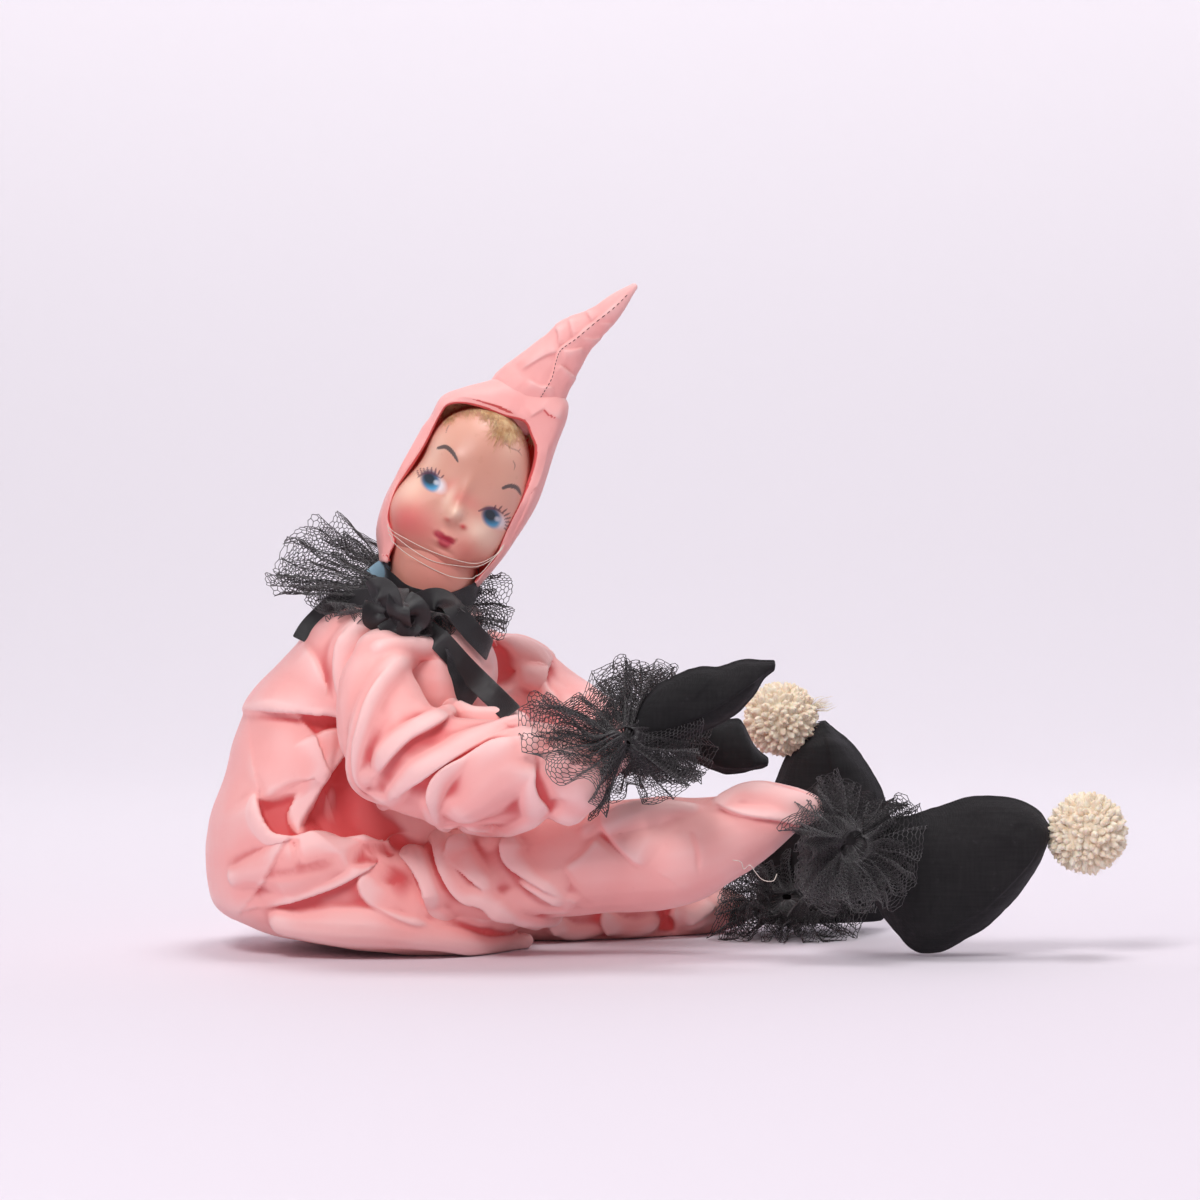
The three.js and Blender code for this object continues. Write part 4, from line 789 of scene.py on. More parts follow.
facePaint = {
    # the palest skin colour is for painted highlights, the shade colour for painted shade, and the blush colour is
    # cheek paint and also painted shade under the chin
    "skin": (236, 178, 158), "paintedHighlight": (255, 222, 200), "blushAndShade": (234, 106, 104), "shade": (204, 142, 124),
    "lips": (190, 36, 66), "lipLine": (150, 22, 50), "nostril": (205, 60, 62), "white": (235, 232, 238),
    "iris": (62, 158, 205), "irisEdge": (40, 110, 160), "pupil": (22, 34, 46), "lash": (92, 46, 66),
    "brow": (62, 58, 62),
    # soft spots: colour, share, pixels, spread across and up the face in mm, turn in degrees. Among them are
    # painted highlights on the temple, cheek and nose, and painted shade on the forehead and under the chin
    "soft": [
        ("shade", 0.75, 474, 462, 13, 17, 0), ("shade", 0.35, 492, 470, 9, 15, 0),
        ("shade", 0.35, 432, 500, 9, 8, 0), ("paintedHighlight", 0.8, 410, 492, 5, 9, 0),
        ("paintedHighlight", 0.5, 432, 455, 4, 9, 0), ("paintedHighlight", 0.4, 516, 440, 5, 9, 0),
        ("blushAndShade", 0.85, 405, 521, 9.5, 10, 0), ("blushAndShade", 0.45, 424, 531, 8, 7, 0),
        ("blushAndShade", 0.45, 466, 553, 9, 7, 0), ("blushAndShade", 0.4, 440, 562, 9, 5, 0),
        ("blushAndShade", 0.38, 466, 500, 8.5, 3.6, -10), ("blushAndShade", 0.55, 450, 487, 2.2, 4.2, -20),
        ("blushAndShade", 0.35, 455, 497, 2.6, 2.2, 0), ("shade", 0.8, 432, 588, 24, 13, 0),
        ("blushAndShade", 0.35, 432, 588, 24, 13, 0), ("shade", 0.25, 462, 460, 20, 20, 0),
        ("paintedHighlight", 0.6, 488, 540, 5, 6, 0), ("paintedHighlight", 0.9, 481, 531, 5.5, 4.5, 0),
        ("paintedHighlight", 0.65, 449, 496, 2.2, 5.5, 0), ("paintedHighlight", 0.75, 456, 513, 3.4, 3.0, 0),
    ],
    # painted lines: pixels, width in mm, colour, share
    "upperLids": [([(418, 477), (424, 473.5), (432, 473), (440, 478)], 1.0, "lash", 0.7),
        ([(479, 511), (486, 508.5), (496, 509), (504, 515)], 1.2, "lash", 0.75)],
    "brows": [([(438, 448), (446, 447), (453, 453), (458, 462)], 1.9, "brow", 0.9),
        ([(503, 488), (510, 486), (517, 488), (521, 495)], 1.9, "brow", 0.9)],
    "mouth": [([(436, 534), (442, 539), (448, 541), (454, 544)], 1.2, "lipLine", 0.4)],
    "eyes": [(430.5, 480.5), (491.5, 517)],
    # beside the middle of each eye: colour, share, pixels, spread in mm, turn in degrees, softness of the edge
    "eye": [("white", 0.85, 8, 4.5, 3.4, 2.6, -20, 0.9), ("irisEdge", 0.9, 0, 0, 4.3, 3.7, -30, 0.45),
        ("iris", 0.9, 0.8, 3.5, 3.3, 2.4, -30, 0.6), ("pupil", 0.97, -1.2, -2.0, 3.5, 2.7, -20, 0.8),
        ("white", 0.6, 6.0, 2.0, 1.2, 1.0, 0, 0.8)],
    "leftLashes": [((419, 476), (417, 470)), ((422, 474), (420, 468)), ((425.5, 473), (423, 468)),
        ((428.5, 473), (427, 467)), ((431.5, 473), (431.5, 467)), ((435, 474), (436, 468)),
        ((438, 475), (440, 470)), ((441, 478), (444, 475))],
    "rightLashes": [((494, 509), (496, 505)), ((498.5, 510), (502, 506)), ((502, 513), (507, 509)),
        ((504, 516), (510, 513)), ((505, 519), (511, 517.5)), ((505, 522), (512, 522)), ((505, 525), (511, 527)),
        ((503.5, 528), (508, 531))],
    "marks": [[(505, 444), (511, 448), (518, 451), (522, 456)], [(513, 461), (515, 465), (514, 470)],
        [(449, 425), (447, 429), (446, 433)], [(518, 451), (521, 449)]],
}


def paintFace(piece):
    co = corners(piece)
    px, py = toPhoto(co)
    x, z = faceCoords(px, py)
    tone = np.tile(np.array(srgb(*facePaint["skin"])[:3]), (len(co), 1))

    def lay(mask, name, share=1.0):
        nonlocal tone
        colour = np.array(srgb(*facePaint[name])[:3])
        tone = tone * (1 - (mask * share)[:, None]) + colour * (mask * share)[:, None]

    for name, share, cx, cy, across, up, turn in facePaint["soft"]:
        lay(dab(x, z, cx, cy, across, up, turn, edge=0), name, share)
    for ex, ey in facePaint["eyes"]:
        for name, share, dx, dy, across, up, turn, edge in facePaint["eye"]:
            lay(dab(x, z, ex + dx, ey + dy, across, up, turn, edge=edge), name, share)
    for lash in facePaint["leftLashes"] + facePaint["rightLashes"]:
        lay(stroke(px, py, lash, 0.75), "lash", 0.8)
    for line, width, name, share in facePaint["upperLids"] + facePaint["brows"]:
        lay(stroke(px, py, line, width), name, share)
    lay(dab(x, z, 447, 519.5, 1.4, 0.9, edge=0), "nostril", 0.5)
    lay(dab(x, z, 463, 526.7, 1.5, 1.1, edge=0), "nostril", 0.95)
    for lx, ly, across, up in [(439.5, 535, 2.8, 1.7), (449.5, 540, 2.7, 1.6), (444.5, 542.5, 3.1, 2.4)]:
        lay(dab(x, z, lx, ly, across, up, 0, edge=0.6), "lips", 0.85)
    for line, width, name, share in facePaint["mouth"]:
        lay(stroke(px, py, line, width), name, share)
    for line in facePaint["marks"]:
        lay(stroke(px, py, line, 0.5), "lash", 0.5)
    layer = piece.data.color_attributes.new("paint", "FLOAT_COLOR", "POINT")
    layer.data.foreach_set("color", np.hstack([tone, np.ones((len(co), 1))]).ravel())


def makeFace():
    bpy.ops.object.select_all(action="DESELECT")
    bpy.ops.mesh.primitive_uv_sphere_add(segments=336, ring_count=200, radius=1.0,
        rotation=(math.radians(90), 0, 0))
    piece = bpy.context.object
    piece.name = "mouldedFace"
    bpy.ops.object.transform_apply(location=False, rotation=True, scale=False)
    co = corners(piece)
    polar = np.arccos(np.clip(-co[:, 1], -1, 1)) / math.pi  # 0 at the front, 1 behind
    eased = np.where(polar < 0.72, polar / 0.72 * 0.56, 0.56 + (polar - 0.72) / 0.28 * 0.44) * math.pi
    ring = np.hypot(co[:, 0], co[:, 2])
    ring[ring < 1e-9] = 1
    sx, sz = co[:, 0] / ring * np.sin(eased), co[:, 2] / ring * np.sin(eased)
    y = -np.cos(eased)
    z = sz * np.where(sz > 0, head["crown"], head["chin"])
    turned = np.arctan2(sz, sx)
    power = head["square"]
    square = (np.abs(np.cos(turned)) ** power + np.abs(np.sin(turned)) ** power) ** (-1 / power)
    square = 1 + (square - 1) * np.clip(0.35 - sz * 3, 0, 1)
    sx, sz, z = sx * square, sz * square, z * square
    narrow = 1 - 0.13 * np.clip(-sz, 0, 1) ** 2.4 - 0.06 * np.clip(sz, 0, 1) ** 2
    shape = np.stack([sx * head["halfWidth"] * narrow, y * np.where(y < 0, head["front"], head["back"]), z], 1)
    mm = shape[:, 2] * 1000  # wider at the cheeks, flat at the temple that lies under the hood
    wide = 1.6 * np.exp(-((mm + 22) / 8) ** 2) - 5.0 * np.exp(-((mm - 3) / 13) ** 2) * (sx < 0)
    shape[:, 0] += 0.001 * wide * np.sign(sx) * np.clip(np.abs(sx), 0, 1) ** 2
    co = (shape + np.array([head["aside"], 0, 0])) @ np.array(headTurn()).T + np.array(head["middle"])
    px, py = toPhoto(co)
    fx, fz = faceCoords(px, py)
    front = np.clip(-y * 2.2, 0, 1)
    for bx, by, across, up, height in head["bumps"]:
        cx, cz = faceCoords(bx, by)
        co[:, 1] -= front * height * 0.001 * np.exp(-((fx - cx) / across) ** 2 - ((fz - cz) / up) ** 2)
    setCorners(piece, co)
    top = Vector(head["middle"]) + headTurn() @ Vector((0, 0.003, -0.016))
    foot = Vector(head["neckFoot"])
    aside = Vector((head["neckAside"], 0, 0))
    top, foot = top - aside, foot - aside
    rows = [[*top, 0.0172], [*top.lerp(foot, 0.5), 0.0184], [*top.lerp(foot, 0.85), 0.0178], [*foot, 0.0172]]
    neck = newPiece("neckForm", *tubeForm(smoothRow(rows, 24), 48))
    alone(piece)
    neck.select_set(True)
    bpy.ops.object.join()
    piece.data.shade_smooth()
    paintFace(piece)
    piece.data.materials.clear()
    dressed(piece, skinVinyl(), ["head_shell"], "head")


def skinVinyl():
    made, n, look, where = newMaterial("paintedVinyl", **{
        "Coat Weight": 0.22, "Coat Roughness": 0.34, "Subsurface Weight": 0.06, "Subsurface Scale": 0.004})
    paint = n.add("ShaderNodeAttribute", attribute_name="paint")
    age = groupIn(n, ageGroup, Vector=where, Size=60.0)
    worn = n.blendColour(n.maths("MULTIPLY", age.outputs["Marks"], 0.16), paint.outputs["Color"],
        srgb(190, 128, 104))
    n.link(worn, look.inputs["Base Color"])
    n.link(n.span(age.outputs["Fade"], 0, 1, 0.40, 0.50), look.inputs["Roughness"])
    grain = n.noise(where, 900.0, 2.0)
    bumps = n.add("ShaderNodeBump", {"Strength": 0.12, "Distance": 0.0001, "Height": grain})
    n.link(bumps.outputs[0], look.inputs["Normal"])
    return made


makeFace()


# hood: a shell lofted from the edge of its opening back round the head
hood = {
    "opening": [(385, 560), (389, 552), (394, 541), (391, 530), (387.5, 519), (389, 507), (395, 489), (405, 473),
        (423, 446), (438, 416), (447.5, 403.5), (466, 402), (486, 407), (505, 415), (525, 420.5), (533, 436),
        (537, 449), (533, 472), (524, 497), (512, 521), (503, 542), (496, 558), (475, 583)],
    "outline": [(382, 560), (380, 552), (377.5, 541), (377, 530), (379.5, 518), (385, 503), (392, 486), (402, 466),
        (418, 441), (433, 416.5), (443, 398), (462, 390), (482, 384), (512, 377), (545, 386), (566, 399),
        (567, 412), (561, 430), (551, 458), (543, 486), (530, 514), (512, 543), (476, 587)],
    "sideDepth": -3, "leastDepth": -14, "rimGap": 1.6, "thickness": 0.0008, "stations": 96, "rings": 30,
    "middle": (463.0, 487.0), "half": (29.5, 37.5), "turns": 344,
    # how far out and how deep, in mm, the shell is carried round the back of the head
    "back": [(0.97, 9), (0.86, 17), (0.66, 23), (0.40, 26.3), (0.15, 27.3), (0.0, 27.5)],
    "seamRows": 16,
    "edges": [
        ((1.2, 6, 1.2), [(520, 414), (498, 404), (470, 397), (450, 398)]),
        ((0.9, 4, 0.9), [(555, 402), (540, 409), (528, 417)]),
        ((0.8, 5, 1.0), [(548, 440), (541, 470), (532, 497)]),
        ((0.7, 4, 0.9), [(514, 535), (529, 505), (540, 470)]),
        ((0.8, 5, 1.0), [(396, 480), (414, 447), (432, 415)]),
        ((0.9, 3, 0.8), [(392, 555), (385, 561), (380, 569)]),
        ((1.0, 6, 1.2), [(563, 418), (550, 412), (538, 400)]),
    ],
}
peak = {
    "rows": [(520, 399, -3, 15.5), (533, 387, -3, 15.0), (545, 372, -3, 13.2), (562, 352, -3, 10.6),
        (577, 335, -3, 9.2), (596, 322, -3, 6.6), (611, 309, -3, 5.2), (624, 296, -3, 3.4), (634, 287, -3, 1.8)],
    "seam": [(538, 402), (544, 392), (552, 378), (556, 362), (561, 350), (576, 339), (595, 323), (615, 307),
        (631, 291)],
    "edges": [
        ((0.9, 3.5, 0.9), [(545, 392), (553, 378), (557, 362), (561, 350), (576, 339), (595, 323), (615, 307),
            (631, 291)]),
        ((1.4, 5, 1.0), [(561, 350), (549, 352), (534, 360), (516, 372)]),
        ((1.2, 4, 1.0), [(560, 352), (572, 352), (586, 348)]),
        ((1.2, 4, 1.0), [(556, 364), (566, 372), (575, 380)]),
        ((1.0, 4, 1.0), [(525, 380), (540, 388), (556, 388)]),
        ((0.9, 3, 0.8), [(560, 345), (560, 334), (556, 326)]),
        ((0.9, 3, 0.8), [(576, 338), (572, 326), (570, 318)]),
        ((0.9, 3, 0.8), [(595, 322), (590, 315), (588, 311)]),
        ((0.9, 3, 0.8), [(580, 337), (592, 340), (602, 338)]),
        ((0.9, 3, 0.8), [(597, 322), (606, 324), (612, 324)]),
    ],
}


def makeHood():
    count, rings = hood["stations"], hood["rings"]
    tree = treeOn(bpy.data.objects["mouldedFace"])
    inner, outer = smoothRow(hood["opening"], count), smoothRow(hood["outline"], count)
    depth = np.empty(count)
    for k in range(count):  # the rim lies close on the face, and stands off beside it
        hit = tree.ray_cast(*pixelRay(*inner[k]))[0]
        depth[k] = min(hit.y * 1000 - hood["rimGap"], hood["leastDepth"]) if hit else hood["leastDepth"]
    for _ in range(10):
        depth[1:-1] = (depth[:-2] + 2 * depth[1:-1] + depth[2:]) / 4
    middle = np.array(hood["middle"])
    lean = math.radians(head["lean"])
    grid = np.empty((count, rings, 3))
    for k in range(count):
        a, b, rim = inner[k], outer[k], depth[k]
        angle = math.radians(-hood["turns"] / 2 + hood["turns"] * (k / (count - 1)))  # from below, clockwise
        across, up = math.sin(angle) * hood["half"][0] / pixelMm, math.cos(angle) * hood["half"][1] / pixelMm
        swept = middle + np.array([across * math.cos(lean) + up * math.sin(lean),
            across * math.sin(lean) - up * math.cos(lean)])
        spots = [(a * (1 - w) + b * w, d) for w, d in (
            (0.03, rim + 2.4), (0.0, rim + 0.5), (0.01, rim + 0.1), (0.06, rim - 0.1), (0.34, rim + 0.9),
            (0.72, rim * 0.80), (1.0, hood["sideDepth"]))]
        for s, d in hood["back"]:
            mix = min(1, 1.25 - s)
            spots.append(((middle + (swept - middle) * s) * mix + (middle + (b - middle) * s) * (1 - mix), d))
        grid[k] = smoothRow([[*atPhoto(p[0], p[1], d)] for p, d in spots], rings)
    grid[:, -1] = grid[:, -1].mean(0)
    first, last = grid[0].copy(), grid[-1].copy()
    shut = np.clip((np.arange(rings) / (rings - 1) - 0.50) / 0.16, 0, 1)[:, None]
    for k in range(hood["seamRows"]):  # the back seam brings both sides together above the nape
        pull = (1 - k / hood["seamRows"]) ** 2 * shut
        grid[k] += ((first + last) / 2 - first) * pull
        grid[-1 - k] += ((first + last) / 2 - last) * pull
    faces = []
    for k in range(count - 1):
        for i in range(rings - 1):
            a = k * rings + i
            faces.append((a, a + 1, a + 1 + rings, a + rings))
    piece = newPiece("satinHood", grid.reshape(-1, 3), faces)
    cleanMesh(piece, join=0.00002)
    applyModifier(piece, "SOLIDIFY", thickness=hood["thickness"], offset=-1)
    applyModifier(piece, "SUBSURF", levels=2, render_levels=2)
    cleanMesh(piece)
    crumple(piece, 0.012, 0.0005, 4)
    foldEdges(piece, hood["edges"])
    # painted shade and highlight on the folds, and full painted shade with a faint glow on the inside
    shadeFolds(piece, 14, head["middle"])
    piece.data.shade_smooth()
    dressed(piece, pinkSatin, ["hood"], "head")


def makePeak():
    piece = merged("hoodPeak", [baseTube(peak["rows"], 0.62)], 0.0007, 2)
    crumple(piece, 0.009, 0.0007, 9)
    foldEdges(piece, peak["edges"])
    foldEdges(piece, peak["edges"], behind=True)
    # painted shade in the folds and painted highlight on the ridges
    shadeFolds(piece, 18)
    tree = treeOn(piece)
    stitches = []
    row = smoothRow(peak["seam"], 64)
    for i in range(4, 62, 2):
        a, b = (Vector(landOn(tree, *row[j], 0)) - Vector((0, 0.0001, 0)) for j in (i, i + 1))
        stitches.append(tubeForm([[*a, 0.00013], [*a.lerp(b, 0.5), 0.0002], [*b, 0.00013]], 6))
    threads = newPiece("peakStitches", *gathered(stitches))
    for made in (piece, threads):
        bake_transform(made)
    dressed(piece, pinkSatin, ["hood_peak"])
    dressed(threads, darkThread)


darkThread = clothMaterial("darkThread", srgb(112, 48, 62), srgb(90, 36, 50), srgb(130, 60, 72), 0.6, 0.2,
    srgb(200, 160, 170), 0.3)
makeHood()
makePeak()


# black felt mitts and boots: two leaves sewn along their edges, each edge overcast by hand
blackFelt = clothMaterial("blackFelt", srgb(24, 21, 24), srgb(17, 15, 18), srgb(62, 58, 63), 0.92, 0.28,
    srgb(130, 126, 138), 0.9, 900.0, 0.9)
mitts = {
    "right": {
        "depths": (-67, -67), "thick": 0.0085, "rim": 0.0011, "stitch": -0.0004,
        "top": [(622, 735), (636, 712), (655, 688), (669, 680), (686, 672), (702, 668), (718, 669), (728, 666),
            (745, 661), (761, 661), (775, 662)],
        "low": [(626, 752), (640, 750), (660, 745), (679, 738), (702, 731), (720, 722), (735, 713), (747, 702),
            (757, 690), (764, 678), (775, 668)],
        "edges": [((0.8, 4, 0.8), [(766, 672), (750, 682), (725, 700), (700, 714), (685, 721)]),
            ((0.7, 5, 1.0), [(715, 674), (700, 690), (690, 700)])],
    },
    "left": {
        "depths": (26, 22), "thick": 0.0085, "rim": 0.0011, "stitch": -0.0004,
        "top": [(646, 722), (665, 719), (690, 719), (712, 720), (727, 720), (738, 720), (744, 726), (750, 739),
            (757, 750), (768, 760)],
        "low": [(648, 740), (665, 748), (685, 757), (700, 763), (712, 768), (728, 773), (742, 772), (754, 769),
            (762, 767), (768, 764)],
        "edges": [((0.8, 4, 0.8), [(762, 764), (745, 766), (725, 766), (705, 758)])],
    },
}
boots = {
    "right": {
        "depths": (-31, -34), "thick": 0.0155, "rim": 0.0009, "stitch": 0.0002,
        "top": [(872, 824), (894, 820), (913, 817), (931, 810), (952, 803), (975, 798), (998, 797), (1020, 801),
            (1038, 812), (1051, 828)],
        "low": [(868, 874), (876, 900), (893, 927), (914, 948), (938, 950), (962, 941), (988, 924), (1014, 899),
            (1036, 868), (1049, 842)],
        "edges": [((0.8, 6, 1.0), [(1040, 842), (1028, 862), (1006, 886), (980, 910), (948, 928), (920, 936)]),
            ((0.7, 5, 1.0), [(905, 930), (892, 905), (886, 880), (884, 850)]),
            ((0.8, 7, 1.2), [(1040, 826), (1020, 822), (1010, 832), (1030, 846)])],
    },
    "left": {
        "depths": (73, 75), "thick": 0.0150, "rim": 0.0009, "stitch": 0.0002,
        "top": [(880, 922), (892, 895), (897, 868), (893, 836), (885, 800), (872, 773), (855, 748), (838, 732),
            (824, 719)],
        "low": [(762, 925), (758, 900), (760, 870), (764, 840), (771, 800), (781, 772), (790, 752), (803, 738),
            (816, 722)],
        "edges": [((1.6, 7, 1.1), [(836, 778), (832, 756), (826, 732)]),
            ((1.0, 7, 1.1), [(858, 840), (846, 805), (836, 778)])],
    },
}


felt = 0.0004  # half of its thickness at the rim


def leafForm(spec, stations=64, across=18):  # two bulging halves with a thin rim of felt all round
    top, low = smoothRow(spec["top"], stations), smoothRow(spec["low"], stations)
    first, last = spec["depths"]
    verts, faces = [], []
    ring = 2 * (across + 1) + 2
    for i in range(stations):
        t = i / (stations - 1)
        depth = first + (last - first) * t
        a, b = np.array(atPhoto(*low[i], depth)), np.array(atPhoto(*top[i], depth))
        way = unit(b - a)
        thick = spec["thick"] * max(1 - abs(2 * t - 1) ** 3.2, 0.0) ** 0.6 + felt
        thick = min(thick, felt + np.linalg.norm(b - a) * 0.55)
        near, far = [], []
        for k in range(across + 1):
            s = 2 * k / across - 1
            h = felt + thick * max(1 - abs(s) ** 2.3, 0) ** 0.72
            p = a + (b - a) * (s + 1) / 2
            near.append(p - np.array([0, h, 0]))
            far.append(p + np.array([0, h, 0]))
        row = [a - way * spec["rim"]] + near + [b + way * spec["rim"]] + far[::-1]
        verts += row
    for i in range(stations - 1):
        for k in range(ring):
            p, q = i * ring + k, i * ring + (k + 1) % ring
            faces.append((p, p + ring, q + ring, q))
    faces.append(tuple(range(ring)))
    faces.append(tuple(reversed(range((stations - 1) * ring, stations * ring))))
    return np.array(verts), faces, top, low


# slanting stitches over the rim
def overcast(spec, top, low, start, step=0.0026, size=0.00021, inset=0.0032, half=0.0028):
    made = []
    first, last = spec["depths"]
    n = len(top)
    sides = [np.array([atPhoto(*e[i], first + (last - first) * i / (n - 1)) for i in range(n)]) for e in (top, low)]
    for rows, other in (sides, sides[::-1]):
        lengths = np.concatenate([[0], np.cumsum(np.linalg.norm(np.diff(rows, axis=0), axis=1))])
        for s in np.arange(lengths[-1] * start, lengths[-1] - 0.001, step):
            i = min(int(np.searchsorted(lengths, s)), n - 1)
            p = rows[i]
            along = unit(rows[i] - rows[i - 1])
            outward = unit(rows[i] - other[i])
            tilt = along * random.uniform(0.5, 0.9)
            a = p - outward * inset + np.array([0, -half, 0]) - tilt * 0.0006
            b = p - outward * spec["stitch"]
            c = p - outward * inset + np.array([0, half, 0]) + tilt * 0.0006
            made.append(tubeForm(smoothRow([[*a, size], [*b, size], [*c, size]], 5), 5))
    return made


def makeFelt(name, spec, body, nodes, stitched, seed):
    verts, faces, top, low = leafForm(spec)
    piece = newPiece(name, verts, faces)
    applyModifier(piece, "SUBSURF", levels=1, render_levels=1)
    cleanMesh(piece)
    crumple(piece, 0.014, 0.0009, seed)
    crumple(piece, 0.0035, 0.0002, seed + 3)
    foldEdges(piece, spec["edges"])
    foldEdges(piece, spec["edges"], behind=True)
    onFloor(piece)
    piece.data.shade_smooth()
    thread = newPiece(name + "Stitches", *gathered(overcast(spec, top, low, stitched)))
    onFloor(thread)
    dressed(piece, blackFelt, nodes, body)
    dressed(thread, blackThread, body=body)


blackThread = clothMaterial("blackThread", srgb(50, 46, 52), srgb(38, 34, 40), srgb(70, 66, 72), 0.85, 0.1,
    srgb(120, 116, 126), 0.3)
for name, spec, body, nodes, stitched, seed in (
        ("rightMitt", mitts["right"], "right_hand", ("mitt_back", "mitt_palm"), 0.3, 1),
        ("leftMitt", mitts["left"], "left_hand", ("mitt_back", "mitt_palm"), 0.3, 2),
        ("rightBoot", boots["right"], "right_foot", ("boot_outer", "boot_inner"), 0.3, 5),
        ("leftBoot", boots["left"], "left_foot", ("boot_outer", "boot_inner"), 0.35, 6)):
    side = body.split("_")[0]
    makeFelt(name, spec, body, [side + "_" + node for node in nodes], stitched, seed)


# yarn pompoms: hundreds of cut ends round a core, and loose fibres
yarn = {"tufts": 430, "hairs": 2000, "turn": 2.399963, "core": 0.86, "foot": 0.62}
pompoms = {
    "right": {"middle": (1087, 833, -34), "radius": 0.0168, "toe": (1056, 831, -34), "tail": None, "seed": 3},
    "left": {"middle": (781, 719, 75), "radius": 0.0160, "toe": (818, 728, 75), "tail": (833, 701), "seed": 8},
}


def yarnMaterial():
    made, n, look, where = newMaterial("creamYarn", **{"Roughness": 0.95, "Sheen Weight": 0.5,
        "Sheen Roughness": 0.6, "Subsurface Weight": 0.12, "Subsurface Scale": 0.002})
    look.inputs["Sheen Tint"].default_value = srgb(255, 245, 230)
    tuft = n.noise(where, 330.0, 2.0)
    age = groupIn(n, ageGroup, Vector=where, Size=45.0)
    base = n.blendColour(n.span(tuft, 0.35, 0.65, 0, 1, True), srgb(240, 218, 190), srgb(255, 246, 228))
    base = n.blendColour(n.maths("MULTIPLY", age.outputs["Fade"], 0.35), base, srgb(246, 224, 202))
    n.link(base, look.inputs["Base Color"])
    fibre = n.noise(where, 2400.0, 3.0)
    bumps = n.add("ShaderNodeBump", {"Strength": 0.8, "Distance": 0.0003, "Height": fibre})
    n.link(bumps.outputs[0], look.inputs["Normal"])
    return made


creamYarn = yarnMaterial()


def makePompom(side, spec):
    dice = random.Random(spec["seed"])
    middle, radius = np.array(atPhoto(*spec["middle"])), spec["radius"]
    forms = [ballForm(middle, (radius * yarn["core"],) * 3)]
    for i in range(yarn["tufts"]):
        z = 1 - 2 * (i + 0.5) / yarn["tufts"]
        a = i * yarn["turn"] + dice.uniform(-0.12, 0.12)
        level = math.sqrt(1 - z * z)
        way = unit(np.array([level * math.cos(a), level * math.sin(a), z + dice.uniform(-0.05, 0.05)]))
        lean = unit(way + np.array([dice.uniform(-0.35, 0.35) for _ in range(3)]))
        reach = radius * dice.uniform(0.93, 1.0)
        thick = dice.uniform(0.0014, 0.0018)
        foot = middle + way * radius * yarn["foot"]
        end = foot + lean * (reach - radius * yarn["foot"])
        rows = [[*foot, thick * 0.8], [*(foot * 0.4 + end * 0.6), thick], [*end, thick * 0.9]]
        forms.append(tubeForm(rows + [[*(end + lean * thick * 0.5), thick * 0.45]], 7))
    for i in range(yarn["hairs"]):
        way = unit(np.array([dice.gauss(0, 1) for _ in range(3)]))
        aside = unit(np.cross(way, [dice.gauss(0, 1) for _ in range(3)]))
        foot = middle + way * radius * 0.93
        end = foot + way * dice.uniform(0.001, 0.0028) + aside * dice.uniform(0, 0.0018)
        forms.append(hairForm([foot, foot * 0.5 + end * 0.5 + aside * 0.0004, end], 0.00006))
    if spec["tail"]:
        tip = np.array(atPhoto(*spec["tail"], spec["middle"][2]))
        for i in range(26):
            aside = np.array([dice.gauss(0, 0.0006) for _ in range(3)])
            foot = middle + unit(tip - middle) * radius * 0.9 + aside
            end = foot + (tip - foot) * dice.uniform(0.5, 1.0) + aside * 2
            forms.append(hairForm([foot, (foot + end) / 2 + aside, end], 0.00022))
    piece = newPiece(side + "Pompom", *gathered(forms))
    dressed(piece, creamYarn, [side + "_pompom"], side + "_bobble")
    if spec["tail"]:  # the far pompom, which leans on its boot, gets a mesh of its own
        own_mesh(piece)


third = 2.0944  # of a full turn


def hairForm(points, size):  # one fine fibre, three-sided, closed at both ends
    row = np.array([*points], float)
    verts, faces = [], []
    for i in range(len(row)):
        way = unit(row[min(i + 1, len(row) - 1)] - row[max(i - 1, 0)])
        side = unit(np.cross(way, [0.31, 0.77, 0.55]))
        up = np.cross(side, way)
        r = size * (1 - 0.75 * i / (len(row) - 1))
        for k in range(3):
            verts.append(row[i] + r * (math.cos(third * k) * side + math.sin(third * k) * up))
    for i in range(len(row) - 1):
        for k in range(3):
            a, b = i * 3 + k, i * 3 + (k + 1) % 3
            faces.append((a, b, b + 3, a + 3))
    n = len(verts)
    faces += [(2, 1, 0), (n - 3, n - 2, n - 1)]
    return np.array(verts), faces


def makeTie(side, spec):  # thread that holds a pompom to the toe, wound round itself
    middle, toe = np.array(atPhoto(*spec["middle"])), np.array(atPhoto(*spec["toe"]))
    way = unit(middle - toe)
    out = unit(np.cross(way, [0, 1, 0]))
    up = np.cross(out, way)
    forms = [tubeForm([[*(toe - way * 0.004), 0.0012], [*toe, 0.0011], [*(toe + way * 0.008), 0.0011]], 10)]
    turn = []
    for i in range(41):
        a = 2 * math.pi * i / 10
        spot = toe + way * (-0.0012 + 0.0024 * i / 40) + 0.0013 * (math.cos(a) * out + math.sin(a) * up)
        turn.append([*spot, 0.00035])
    forms.append(tubeForm(turn, 6))
    piece = newPiece(side + "PompomTie", *gathered(forms))
    dressed(piece, blackThread, [side + "_pompom_tie"], side + "_foot")


for label, values in pompoms.items():
    makePompom(label, values)
    makeTie(label, values)


# hair fringe under the front of the hood
fringe = {
    "count": 1100, "seed": 21, "size": 0.00012, "steps": 5, "lock": (508, 417), "lockShare": 0.25,
    "roots": [(444, 415), (450, 406), (468, 404), (488, 409), (506, 417), (526, 423), (532, 436)],
}


